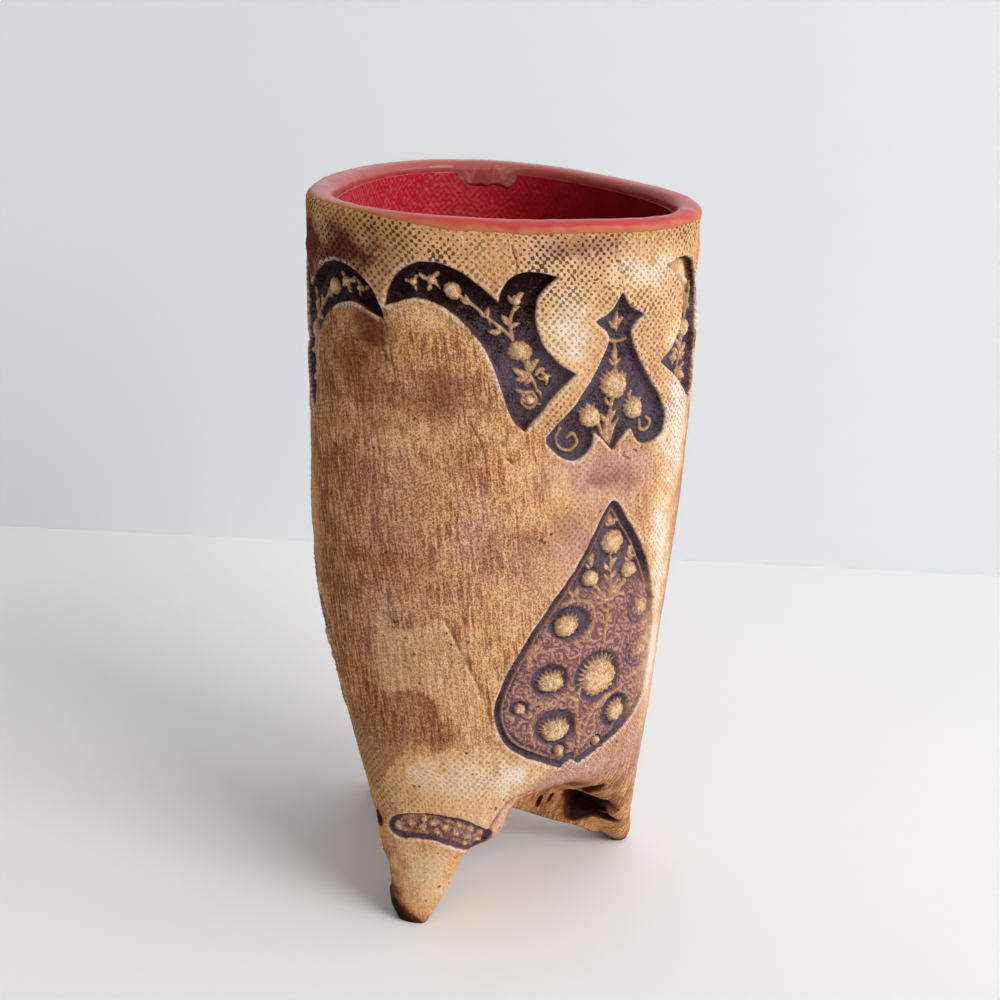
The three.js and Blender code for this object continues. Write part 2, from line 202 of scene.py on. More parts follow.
# The fold below the wall, from its start to the keel
def foldPoint(angle, t):
    start = foldHeight(angle)
    wallEnd = wallPoint(angle, start)
    down = unit(wallPoint(angle, start - 1) - wallEnd)
    share = sideShare(angle)
    keel = keelEdge(angle, np.ones_like(angle))
    outward = wallEnd - keel
    outward[..., 2] = 0
    drop = mix(pot["foldDropAtToe"], pot["foldDropAtArch"], share)
    keelPull = keel + unit(outward) * (pot["tuckRound"] * share)[..., None]
    keelPull[..., 2] += pot["tuckRise"] * share ** pot["tuckEase"]
    return bezier(wallEnd, wallEnd + down * drop[..., None], keelPull, keel, t)


# The clay floor inside, from the wall to the valley above the keel
def floorPoint(angle, t, inset):
    share = sideShare(angle)
    wallEnd = wallPoint(angle, foldHeight(angle), pot["wall"] + inset)
    valley = keelPoint(angle, pot["floorReach"], np.zeros_like(angle))
    depth = mix(pot["floorAtToe"], pot["floorAtMiddle"], share)
    bottom = keelLine(np.hypot(valley[..., 0], valley[..., 1])) + depth
    valley[..., 2] = np.maximum(bottom, pot["foldRise"] - pot["floorSink"]) + inset
    pulls = pot["floorPulls"]
    wallPull = mix(wallEnd, valley, pulls["wall"])
    wallPull[..., 2] = mix(wallEnd[..., 2], valley[..., 2], pulls["wallDrop"] * (1 - share))
    valleyPull = mix(valley, wallEnd, pulls["valley"])
    valleyPull[..., 2] = valley[..., 2] + pot["floorCrown"] * share
    return bezier(wallEnd, wallPull, valleyPull, valley, t)


# Twist, lean and the stray right foot, then the move to the middle of the vase's own box, in metres
def settle(points):
    share = points[..., 2] / pot["height"]
    stray = pot["strayFoot"]
    angle = np.degrees(np.arctan2(points[..., 0], -points[..., 1]))
    near = rise(stray["spread"], 0, angleApart(angle, stray["angle"]))
    further = stray["turn"] * near * rise(stray["top"], 0, points[..., 2])
    turn = np.radians(further - pot["twist"] * share)
    x = points[..., 0] * np.cos(turn) - points[..., 1] * np.sin(turn)
    y = points[..., 0] * np.sin(turn) + points[..., 1] * np.cos(turn)
    x = x - pot["lean"] * share + pot["middle"][0]
    y = y + pot["middle"][1]
    return np.stack([x, y, points[..., 2]], -1) * mm


noiseSpan = {"below": 120, "tall": 340}


# Lumps of one size in millimetres on the unrolled wall, which meet where the wall comes round
def softNoise(along, up, size, seed):
    columns = max(3, round(girth / size))
    rows = int(noiseSpan["tall"] / size) + 4
    values = np.random.default_rng(seed).uniform(-1, 1, (columns, rows))
    x = np.mod(along / girth, 1.0) * columns
    y = np.clip((up + noiseSpan["below"]) / size, 0, rows - 2.001)
    left, low = np.floor(x).astype(int) % columns, np.floor(y).astype(int)
    tx, ty = rise(0, 1, x - np.floor(x)), rise(0, 1, y - low)
    right = (left + 1) % columns
    lower = mix(values[left, low], values[right, low], tx)
    return mix(lower, mix(values[left, low + 1], values[right, low + 1], tx), ty)


# How much the wall's inner face gives way near the lip, where the maker's thumb has thinned it
def lipThinning(angle, height):
    given = np.zeros(np.broadcast_shapes(angle.shape, np.shape(height)))
    for place, halfAngle, amount in pot["lipNarrow"]:
        given = given + amount * rise(1.6, 0, angleApart(angle, place) / halfAngle)
    return given * rise(pot["lipFade"], 0, pot["lipBase"] - height)


# Height of the lip over its base, lower at the back than in front
def lipRise(angle):
    height = pot["lipRise"] + 0 * angle
    for place, halfAngle, amount in pot["lipWaves"]:
        height = height + amount * rise(1.2, 0.3, angleApart(angle, place) / halfAngle)
    return height


# Half of a squared oval over the lip, from inside (a turn of pi) to outside, in shares of the half width
def lipOval(turn):
    power = 2 / pot["lipSquareness"]
    return np.sign(np.cos(turn)) * np.abs(np.cos(turn)) ** power, np.abs(np.sin(turn)) ** power


# Rows of the clay's outer skin: over the lip, down the wall, round the fold and across the keel
skinRows = {"columnsPerSide": 248, "lip": 16, "wall": 336, "fold": 96, "keel": 8}


def claySkin():
    columns = skinRows["columnsPerSide"] * 3
    angle = np.arange(columns)[None, :] * (360 / columns)
    turn = np.pi * (1 - np.arange(skinRows["lip"]) / skinRows["lip"])[:, None]
    wide, tall = lipOval(turn)
    halfLip = (pot["wall"] - lipThinning(angle, pot["lipBase"])) / 2
    lipRadius = wallRadius(angle, pot["lipBase"] + 0 * angle) - halfLip
    lip = polar(angle, lipRadius + halfLip * wide, pot["lipBase"] + lipRise(angle) * tall)
    start = foldHeight(angle)
    wall = wallPoint(angle, mix(pot["lipBase"], start, shares(skinRows["wall"])))
    fold = foldPoint(angle, shares(skinRows["fold"])[1:])
    keel = keelEdge(angle, 1 - shares(skinRows["keel"])[1:])
    points = np.concatenate([lip, wall, fold, keel])
    points[..., 2] = np.maximum(points[..., 2], 0)
    steps = np.linalg.norm(np.diff(points, axis=0), axis=-1)
    wallEnd = skinRows["lip"] + skinRows["wall"]
    up = points[..., 2].copy()
    up[wallEnd + 1:] = start - np.cumsum(steps[wallEnd:], axis=0)
    across = np.roll(points, -1, 1) - np.roll(points, 1, 1)
    normals = unit(np.cross(across, -np.gradient(points, axis=0)))
    along = np.broadcast_to(np.radians(angle) * pot["unrollRadius"], up.shape)
    skin = {"points": points, "normals": normals, "along": along, "up": up}
    skin["outside"] = rise(*pot["underside"], normals[..., 2])
    return skin


skin = claySkin()
for layer in ("dent", "ground", "lift", "field", "slate", "scroll"):
    skin[layer] = np.zeros(skin["up"].shape)
skin["depth"] = np.full(skin["up"].shape, -float(depthReach))  # how far inside a stamp's outline
print("clay skin", skin["up"].shape)


# A smooth line through a few points
def smoothLine(points, stepsEach=6):
    points = np.array(points, float)
    if len(points) < 3:
        return points
    ends = np.concatenate([[2 * points[0] - points[1]], points, [2 * points[-1] - points[-2]]])
    line = []
    for index in range(1, len(ends) - 2):
        before, here, there, after = ends[index - 1:index + 3]
        for t in np.arange(stepsEach) / stepsEach:
            line.append(0.5 * (2 * here + (there - before) * t
                               + (2 * before - 5 * here + 4 * there - after) * t * t
                               + (3 * here - before - 3 * there + after) * t ** 3))
    return np.array(line + [points[-1]])


# A closed outline from smooth stretches that meet at corners
def closedOutline(stretches):
    return np.concatenate([smoothLine(stretch)[:-1] for stretch in stretches])


def distanceToLine(line, x, y):
    nearest = np.full(x.shape, 1e9)
    for (startX, startY), (endX, endY) in zip(line[:-1], line[1:]):
        spanX, spanY = endX - startX, endY - startY
        length = max(spanX * spanX + spanY * spanY, 1e-12)
        t = np.clip(((x - startX) * spanX + (y - startY) * spanY) / length, 0, 1)
        nearest = np.minimum(nearest, (x - startX - t * spanX) ** 2 + (y - startY - t * spanY) ** 2)
    return np.sqrt(nearest)


# Distance in from an outline, negative outside it
def depthInside(outline, x, y):
    closed = np.concatenate([outline, outline[:1]])
    inside = np.zeros(x.shape, bool)
    for (startX, startY), (endX, endY) in zip(closed[:-1], closed[1:]):
        crosses = (startY > y) != (endY > y)
        slope = (endX - startX) / (endY - startY if endY != startY else 1e-12)
        inside ^= crosses & (x < startX + (y - startY) * slope)
    return np.where(inside, 1, -1) * distanceToLine(closed, x, y)


# How far a place is from the middle of an oval, 1 on its edge, and in which direction
def ovalPlace(x, y, oval):
    centreX, centreY, halfWidth, halfHeight = oval[:4]
    u, v = (x - centreX) / halfWidth, (y - centreY) / halfHeight
    return np.hypot(u, v), np.arctan2(v, u)


# Raised ornament inside a stamp, each piece of it returning 0 to 1
def headRelief(x, y, head):
    centreX, centreY, halfWidth = head[:3]
    reach, turn = ovalPlace(x, y, head)
    petals = round(5 + 2.2 * halfWidth)
    edge = 1 + 0.07 * np.cos(petals * turn + centreX) + 0.06 * np.sin(3 * turn + centreY)
    seeds = 0.2 * softNoise(x, y, 1.0, 21)
    return rise(edge + 0.14, edge - 0.12, reach) * np.clip(0.95 - 0.45 * reach ** 2 + seeds, 0, 1)


# Pointed petals that stand up round a head, on the side that it leans to
def petalRelief(x, y, head):
    halfWidth, lean, spread = head[2], head[4], head[5]
    reach, turn = ovalPlace(x, y, head)
    away = np.abs(np.mod(turn - math.radians(lean) + np.pi, 2 * np.pi) - np.pi)
    blade = np.abs(np.mod(turn * round(8 + 3.2 * halfWidth) / (2 * np.pi), 1) - 0.5) * 2
    facing = rise(math.radians(spread), math.radians(0.6 * spread), away)
    tip = 1.5 - 0.55 * blade
    return rise(tip + 0.05, tip - 0.12, reach) * rise(0.95, 0.45, blade * rise(0.8, 1.1, reach)) * facing


# A narrow pointed leaf from its base: place, length, direction and how broad it is
def leafRelief(x, y, leaf):
    baseX, baseY, length, angle = leaf[:4]
    breadth = 1.25 * leaf[4] if len(leaf) > 4 else 0.2
    turn = math.radians(angle)
    u = ((x - baseX) * math.cos(turn) + (y - baseY) * math.sin(turn)) / length
    v = (y - baseY) * math.cos(turn) - (x - baseX) * math.sin(turn)
    v = v - 0.12 * length * np.sin(np.pi * np.clip(u, 0, 1))
    width = np.maximum(breadth * length * np.sin(np.pi * np.clip(u, 0.02, 0.98)) ** 0.8, 0.18)
    return rise(1.3, 0.45, np.abs(v) / width) * rise(-0.08, 0.05, u) * rise(1.08, 0.95, u)


def stemRelief(x, y, points, width=0.6):
    return rise(width + 0.15, 0.1, distanceToLine(smoothLine(points), x, y) + 0.15 * softNoise(x, y, 1.4, 22))


# Small spirals side by side, as carved scrollwork
def scrollRelief(x, y, size, pitch, seed):
    table = np.random.default_rng(seed).uniform(0, 1, (64, 64, 3))
    nearest = np.full(x.shape, 1e9)
    wave = np.zeros(x.shape)
    for stepX in (-1, 0, 1):
        for stepY in (-1, 0, 1):
            cellX = np.floor(x / size).astype(int) + stepX
            cellY = np.floor(y / size).astype(int) + stepY
            place = table[cellX % 64, cellY % 64]
            gapX = x - (cellX + 0.15 + 0.7 * place[:, 0]) * size
            gapY = y - (cellY + 0.15 + 0.7 * place[:, 1]) * size
            distance = np.hypot(gapX, gapY)
            way = np.where(place[:, 2] > 0.5, 1, -1)
            spiral = np.cos(2 * np.pi * distance / pitch + way * np.arctan2(gapY, gapX))
            wave = np.where(distance < nearest, spiral, wave)
            nearest = np.minimum(nearest, distance)
    return wave


# Stamps, drawn on the unrolled wall: millimetres round from the front foot, and height
archStamp = {
    "stretches": [
        [(13.6, 176.6), (15, 181), (18, 185.5), (22, 188), (27, 188.8), (32, 187.5), (36, 185),
         (40, 181.5), (42.5, 179)],
        [(42.5, 179), (44, 183), (47, 186), (52, 187.3), (59.5, 186)],
        [(59.5, 186), (55, 183), (52.5, 179), (52, 174), (54, 168), (58, 163.5), (62.8, 160.4)],
        [(62.8, 160.4), (57, 156), (52, 151), (46.6, 145.8)],
        [(46.6, 145.8), (43.5, 149.5), (41.5, 156), (40, 162), (37.5, 168), (33, 174), (28, 178),
         (22, 179.5), (17, 178), (13.6, 176.6)],
    ],
    "depth": 2.5,
    "bevel": 0.75,
    "lift": 1.7,
    "slate": 0.75,
    # heights over which the recess floor darkens towards its top: painted shade under the overhanging edge
    "shadeAndOxide": (186, 163),
    "heads": [
        (31, 181.6, 2.2, 2.1), (47.6, 166.5, 3.4, 2.5), (20.9, 183, 0.9, 0.8), (25.7, 183.9, 1.3, 1.1),
        (47.7, 179.7, 1.1, 1.2), (49.2, 153.6, 1.5, 1.2), (54.3, 159.5, 0.9, 0.9),
    ],
    "leaves": [
        (20.4, 183, 2.2, 160), (21, 182.6, 2, 280), (21.2, 183.4, 2, 50), (25, 184.2, 2.8, 155, 0.2),
        (25.4, 183.4, 2.6, 245, 0.2), (26.2, 184.4, 2.4, 40, 0.2), (26, 183.4, 2.2, -40),
        (35.6, 178.4, 2.8, 120), (35.4, 178.6, 2.8, 165), (39.4, 175.2, 2.2, 150, 0.22),
        (39.6, 175.2, 2.4, 80, 0.22), (39.6, 175, 1.8, -80, 0.22), (43.4, 172, 4.2, 186),
        (43.2, 172.2, 2.6, 140), (45.5, 173, 3.2, 130), (45.6, 172.2, 3, 30), (45.7, 174.4, 2.6, 150),
        (46.4, 176.4, 2.6, 35), (47.4, 178.6, 2.8, 130, 0.2), (48, 179.4, 3, 50, 0.2),
        (49.6, 160.6, 4.8, 162, 0.17), (49.6, 160.2, 4.2, 196, 0.17), (50.4, 160.8, 4.4, 56),
        (50.2, 161.4, 3.6, 96), (51.2, 159.8, 4, 30), (50.2, 160.2, 3.4, 230),
        (53.8, 159.6, 1.8, 90, 0.22), (54.4, 159.6, 1.8, 5, 0.22), (54.2, 159.2, 1.8, -80, 0.22),
        (53.8, 159.4, 1.6, 180, 0.22), (51.6, 156.2, 2.6, -60), (48, 156, 2.4, 170),
        (51.2, 152.6, 2.4, -30),
    ],
    "stems": [
        [(32.6, 180.4), (35.7, 178.2), (39.5, 175), (43.6, 171.8), (45.8, 169.4)],
        [(45.7, 169.6), (45.5, 174), (46.8, 177.3), (47.6, 179)],
        [(48.2, 164.2), (49.4, 161.4), (50.8, 158.4), (51.8, 155.8)],
        [(47.6, 155), (47.2, 152.8), (49.2, 151.4), (51.2, 153), (50.4, 155.4), (48.4, 155.4)],
    ],
}
spadeStamp = {
    "stretches": [
        [(77.5, 181.4), (79.3, 177.6), (84, 174.8)],
        [(84, 174.8), (81, 173), (79.6, 170.6), (79.8, 168.5)],
        [(79.8, 168.5), (82, 163), (86, 156), (90, 150), (91.6, 145), (90, 141), (86, 139.4), (82, 140),
         (80, 142), (78.5, 144.8)],
        [(78.5, 144.8), (75.5, 142.4), (72.5, 139.1)],
        [(72.5, 139.1), (69.2, 142.6), (66.5, 145.2)],
        [(66.5, 145.2), (66.6, 142), (64.5, 139), (60, 137.2), (55.4, 139.4), (52.8, 143.1), (56, 147),
         (61, 151), (66, 157), (70, 163), (72.7, 168.5)],
        [(72.7, 168.5), (72.4, 171), (69.2, 174)],
        [(69.2, 174), (73.6, 176.6), (77.5, 181.4)],
    ],
    "depth": 2.3,
    "bevel": 0.75,
    "lift": 1.8,
    "slate": 0.75,
    "heads": [(74.9, 156.1, 4.2, 3.5), (67, 148.1, 3.2, 2.8), (81, 149.1, 3.1, 2.8)],
    "petals": [
        (74.9, 156.1, 4.2, 3.3, 90, 75), (67, 148.1, 3.1, 2.7, 110, 60), (81, 149.1, 3, 2.7, 90, 60),
    ],
    "leaves": [
        (76.2, 170.4, 5.6, 86, 0.12), (75.8, 171.4, 3.2, 128, 0.16), (76.5, 172.2, 3, 50, 0.16),
        (75.6, 162.2, 4.4, 88, 0.2), (75.2, 161.6, 2.4, 130), (75.7, 161.6, 2.4, 50),
        (72.8, 139.8, 9.4, 89, 0.07), (72.6, 140.4, 7.6, 113, 0.07), (73, 140.4, 7.4, 66, 0.07),
        (72.6, 146, 3.6, 125), (73.2, 146.4, 3.6, 55), (73.6, 150.6, 3, 120), (73.8, 150.8, 3, 60),
        (68, 150.4, 2.4, 140), (79.6, 152, 2.6, 70),
    ],
    "stems": [
        [(72.4, 168.9), (76.3, 168.1), (80, 168.9)],
        [(75.5, 168), (75.4, 160)],
        [(74.2, 152.6), (73.2, 147), (72.7, 140)],
        [(57.6, 145.6), (56.2, 143), (57.4, 140.2), (60.4, 139.6), (62.6, 141.6), (61.4, 144), (59.6, 143)],
        [(83.2, 145.6), (83.4, 143), (86, 142.6), (87.4, 144.6), (85.8, 146)],
    ],
}
tearStamp = {
    "stretches": [
        [(60.5, 46), (66, 48.2), (75, 51.6), (84, 55.5), (89, 59.5), (91, 66), (92, 75), (91.5, 85),
         (89, 95), (84, 107), (77, 119), (72.5, 124.6), (68.6, 120.4), (60, 107.5), (50, 96), (40, 83),
         (34, 73), (31.7, 66), (33, 59), (37, 54), (44, 50), (53.5, 46)],
        [(53.5, 46), (57, 48.2), (60.5, 46)],
    ],
    "depth": 0.8,
    "bevel": 0.7,
    "lift": 0.75,
    "slate": 0.8,
    "groove": 1.7,
    "wire": 1,
    "heads": [
        (72.9, 112.2, 3.8, 3.5), (64.9, 102.6, 2.9, 2.3), (79.2, 102.7, 2.9, 2.3), (56.4, 89.4, 4, 3),
        (85.5, 90.2, 2.8, 2.6), (50.9, 72.9, 4.4, 2.8), (68.8, 71.4, 6.4, 5.5), (87, 76.2, 3, 2.7),
        (40.1, 66.1, 1.9, 1.5), (52.1, 57.6, 5, 3.1), (76.8, 58.5, 3.8, 2.9), (53.5, 51.3, 1.9, 1.4),
        (68.6, 51.2, 1.6, 1.2),
    ],
    "pits": [
        (72.4, 112.4, 5.2, 4.8), (64.4, 102.8, 4.1, 3.3), (78.8, 102.8, 3.8, 3), (57.5, 90.2, 7.2, 5.2),
        (50.3, 73.9, 6.6, 4.9), (67.9, 72, 9, 8.1), (52.1, 58.8, 7.8, 5.7), (75.8, 59.3, 6.4, 5.3),
        (39.6, 66.4, 3.2, 2.4), (53.2, 51.6, 3, 2.1), (68.2, 51.4, 2.5, 1.9),
    ],
    "rings": [(85.2, 90.8, 4.6, 4.3), (85.2, 90.8, 6, 5.7), (86, 76.2, 4.8, 3.9), (86, 76.2, 6.4, 5.2)],
    "petals": [
        (50.9, 72.9, 4.4, 2.8, 100, 80), (68.8, 71.4, 6.3, 5.4, 125, 105), (52.1, 57.6, 5, 3.2, 105, 85),
        (76.8, 58.5, 3.8, 3.1, 115, 85), (56.4, 89.4, 3.9, 2.9, 60, 50),
    ],
    "leaves": [
        (72.6, 117, 3.6, 95, 0.2), (72.3, 117, 2.6, 140), (72.9, 117, 2.6, 45), (65.4, 106, 4, 82, 0.18),
        (65, 105.6, 2.4, 130), (79.9, 105.4, 5, 88, 0.2), (79.6, 105.2, 2.6, 140), (80.2, 105.4, 2.4, 40),
        (71.8, 104, 3.4, 128), (72, 104.4, 3.8, 52), (71.7, 101, 3.2, 130), (71.9, 101, 3.4, 50),
        (71.2, 95.6, 7.6, 150, 0.06), (71.2, 95.6, 8, 128, 0.06), (71.4, 95.6, 8.2, 32, 0.06),
        (71.4, 95.6, 7.6, 54, 0.06), (71.2, 95.4, 6, 176, 0.07), (71.4, 95.4, 6, 6, 0.07),
        (59.6, 97.6, 3.6, 75), (59.4, 98, 3, 130), (70.6, 92, 3, 140), (70.8, 92, 3, 40),
        (70, 88.6, 3, 140), (70.2, 88.6, 3, 40), (69.4, 85, 2.8, 140), (69.6, 85, 2.8, 40),
        (42.6, 78, 10.4, 56, 0.08), (43.4, 78, 7, 74, 0.08), (60.4, 66.4, 3.8, 150), (61, 66.4, 3.8, 70),
        (59.6, 55.4, 4, 60), (61.4, 51, 3.6, 40), (59.2, 50.6, 3.4, 130), (44.2, 64, 4, 170),
        (82, 68, 4, 20), (81, 66, 4, -40),
    ],
    "stems": [
        [(72.4, 108.6), (71.9, 102), (71.3, 95)],
        [(71.2, 95), (70.4, 89), (69.4, 80)],
        [(66, 100.6), (68.6, 97.4), (71.2, 95.2)],
        [(78, 100.6), (74.6, 97.6), (71.4, 95.2)],
        [(55, 96.4), (59, 97), (64, 95.8), (66, 91.4), (63.6, 86.4), (60, 84.2)],
        [(41.6, 72), (43.6, 68.2), (49, 67), (56, 68.2), (59.6, 65.8)],
        [(60, 47), (60.6, 54), (59.6, 62), (60.2, 66.4)],
        [(61.4, 55), (65, 61), (70.6, 64.4), (79, 67)],
        [(44, 54.4), (43, 60), (45.6, 65), (52, 66.4)],
        [(63.6, 52.6), (66.4, 55.4), (66.6, 60)],
    ],
    "scrolls": {"size": 4.6, "pitch": 1.55, "height": 0.36},
}
ankleStamp = {
    "stretches": [
        [(-4.6, 28.4), (-2.5, 31.6), (1, 33.4), (6, 34.6), (12, 34.9), (20, 33.2), (27, 29.8)],
        [(27, 29.8), (25, 25), (22.6, 20.4)],
        [(22.6, 20.4), (18, 23.8), (12, 26.4), (6, 27), (1, 26.4), (-2.6, 26.6), (-4.6, 28.4)],
    ],
    "depth": 1.1,
    "bevel": 0.8,
    "lift": 0.85,
    "slate": 0.9,
    "groove": 0.7,
    "wire": 0,
    "rings": [],
    "heads": [
        (-1, 29.6, 1.3, 1), (3.4, 31.2, 1.4, 1.1), (6.8, 30.4, 1.2, 1), (7.6, 32.8, 0.9, 0.8),
        (10.2, 31.9, 1.3, 1.1), (11, 29.4, 1, 0.9), (13.6, 30.8, 1.3, 1.1), (14.8, 33, 0.9, 0.8),
        (16.8, 29, 1.2, 1), (17.8, 31.6, 1.2, 1), (20.4, 27.8, 1.2, 1), (21.4, 30.4, 1.1, 1),
        (23.2, 26.2, 1, 0.9), (24.2, 29, 1, 0.9), (19.4, 25.4, 0.9, 0.8),
    ],
    "leaves": [],
    "stems": [[(-2.4, 28), (3, 28.6), (8, 28.6)], [(1, 32.2), (6, 33.8), (12, 34)]],
    "scrolls": {"size": 2.2, "pitch": 1.4, "height": 0.35},
}


# How a stamp is carved: depths and heights in millimetres, and steps between two values
carving = {
    "edge": -0.4,
    "clear": (0.2, 1.0),
    "petals": 0.5,
    "stems": 0.85,
    "pitEdge": (1.1, 0.86),
    "ringEdge": (0.75, 0.35),
    "scrollBend": 0.9,
    "scrollEdge": (-0.1, 0.75),
    "bloom": (95, 106),
    "sunk": {"groove": 0.65, "line": 0.4, "pit": 1.1, "bloom": 0.6},
    "wire": 0.15,
    "fine": 0.5,
    "headBare": (0.25, 0.75),
    "spare": 4,
    "wobble": 0.16,
    "swell": 0.3,
    "swellEdge": (-3, -0.6),
    "spill": -1.5,
}


# Height and tones of a stamp's carving at places on its own drawing
def carve(stamp, x, y, depth):
    inside = rise(carving["edge"], stamp["bevel"], depth)
    head, fine, pit, scroll, field = [np.zeros(x.shape) for layer in range(5)]
    ground = np.ones(x.shape)
    for place in stamp["heads"]:
        head = np.maximum(head, headRelief(x, y, place))
    for place in stamp.get("petals", []):
        head = np.maximum(head, carving["petals"] * petalRelief(x, y, place))
    for leaf in stamp["leaves"]:
        fine = np.maximum(fine, leafRelief(x, y, leaf))
    for stem in stamp["stems"]:
        fine = np.maximum(fine, carving["stems"] * stemRelief(x, y, stem))
    for oval in stamp.get("pits", []):
        pit = np.maximum(pit, rise(*carving["pitEdge"], ovalPlace(x, y, oval)[0]))
    clear = rise(*carving["clear"], depth)
    head, fine = head * clear, fine * clear
    height = -stamp["depth"] * inside
    if "scrolls" in stamp:
        scrolls = stamp["scrolls"]
        bend = carving["scrollBend"]
        bentX = x + bend * softNoise(x, y, 2.6, 28)
        bentY = y + bend * softNoise(x, y, 2.6, 29)
        wave = scrollRelief(bentX, bentY, scrolls["size"], scrolls["pitch"], 23)
        wave = wave + 0.9 * softNoise(x, y, 1.2, 24)
        scroll = rise(*carving["scrollEdge"], wave) * (1 - pit) * inside
    if "groove" in stamp:
        far = stamp["groove"]
        sunk = carving["sunk"]
        groove = rise(far + 0.3, far - 0.3, depth)
        wire = rise(far, far + 0.3, depth) * rise(far + 1, far + 0.6, depth) * stamp["wire"]
        line = rise(far + 0.8, far + 1.1, depth) * rise(far + 1.8, far + 1.4, depth) * stamp["wire"]
        bloom = rise(*carving["bloom"], y + 1.5 * softNoise(x, y, 4, 25)) * inside
        scroll = scroll * rise(far + 0.2, far + 1, depth) * (1 - 0.85 * bloom)
        for ring in stamp["rings"]:
            reach = np.abs(ovalPlace(x, y, ring)[0] - 1) * ring[2]
            line = np.maximum(line, rise(*carving["ringEdge"], reach))
        ground = np.clip(np.maximum.reduce([groove, 0.8 * line, pit, 0.85 * bloom]), 0, 1)
        field = np.ones(x.shape)
        down = sunk["groove"] * groove + sunk["line"] * line + sunk["pit"] * pit
        down = down + sunk["bloom"] * bloom * (1 - pit)
        height = height - inside * down + carving["wire"] * wire
        fine = np.maximum(fine, 0.5 * wire)
    if "scrolls" in stamp:
        height = height + scroll * stamp["scrolls"]["height"]
    raised = np.maximum(head * (stamp["lift"] + pit), carving["fine"] * fine * stamp["lift"])
    slate = stamp["slate"] * np.ones(x.shape)
    # the arch's recess floor turns from slate to plum towards its top: painted shade under the overhanging
    # edge
    if "shadeAndOxide" in stamp:
        slate = slate * rise(*stamp["shadeAndOxide"], y)
    return {
        "dent": height + raised * inside,
        "ground": ground * (1 - 0.92 * rise(*carving["headBare"], head)),
        "field": field,
        "lift": np.clip(np.maximum(head, 0.6 * fine), 0, 1) * inside,
        "inside": inside,
        "scroll": scroll,
        "slate": slate,
    }


# Places round the wall as seen from another, half a turn either way
def wrapRound(along, place=0.0):
    return np.mod(along - place + girth / 2, girth) - girth / 2


def roundDistance(along, place):
    return np.abs(wrapRound(along, place))


# Presses one stamp into the clay: shifted round and up, and turned over about a line if one is given
def pressStamp(stamp, shift=0.0, climb=0.0, mirrorAt=None):
    outline = closedOutline(stamp["stretches"])
    low, high = outline.min(0), outline.max(0)
    centre = (low[0] + high[0]) / 2
    x = skin["along"] - shift
    if mirrorAt is not None:
        x = 2 * mirrorAt - x
    x = wrapRound(x, centre) + centre
    y = skin["up"] - climb
    spare = carving["spare"]
    near = (x > low[0] - spare) & (x < high[0] + spare) & (y > low[1] - spare) & (y < high[1] + spare)
    near &= skin["outside"] > 0
    x, y, outside = x[near], y[near], skin["outside"][near]
    depth = depthInside(outline, x, y) + carving["wobble"] * softNoise(x, y, 2.6, 26)
    cut = carve(stamp, x, y, depth)
    swell = carving["swell"] * rise(*carving["swellEdge"], depth) * (1 - cut["inside"])
    skin["dent"][near] += (cut["dent"] + swell) * outside
    held = outside * (depth > carving["spill"])
    for layer in ("ground", "field", "lift", "slate", "scroll"):
        skin[layer][near] = np.maximum(skin[layer][near], cut[layer] * held)
    skin["depth"][near] = np.maximum(skin["depth"][near], np.clip(depth, -depthReach, depthReach))


# Where each stamp is pressed; the far side repeats what the near side shows
cusps = [13.3, 138.8]
spadeShifts = [0, 129, 204.2]
tearShifts = [0, 108.9, 211.9]
ankleShifts = [0, 108.9, 217.8]
for cusp, twinClimb in zip(cusps, (-3.5, 1)):
    pressStamp(archStamp, shift=cusp - cusps[0])
    pressStamp(archStamp, shift=cusp - cusps[0], climb=twinClimb, mirrorAt=cusps[0])
for shift in spadeShifts:
    pressStamp(spadeStamp, shift)
for shift in tearShifts:
    pressStamp(tearStamp, shift)
for shift in ankleShifts:
    pressStamp(ankleStamp, shift)
print("stamps pressed")
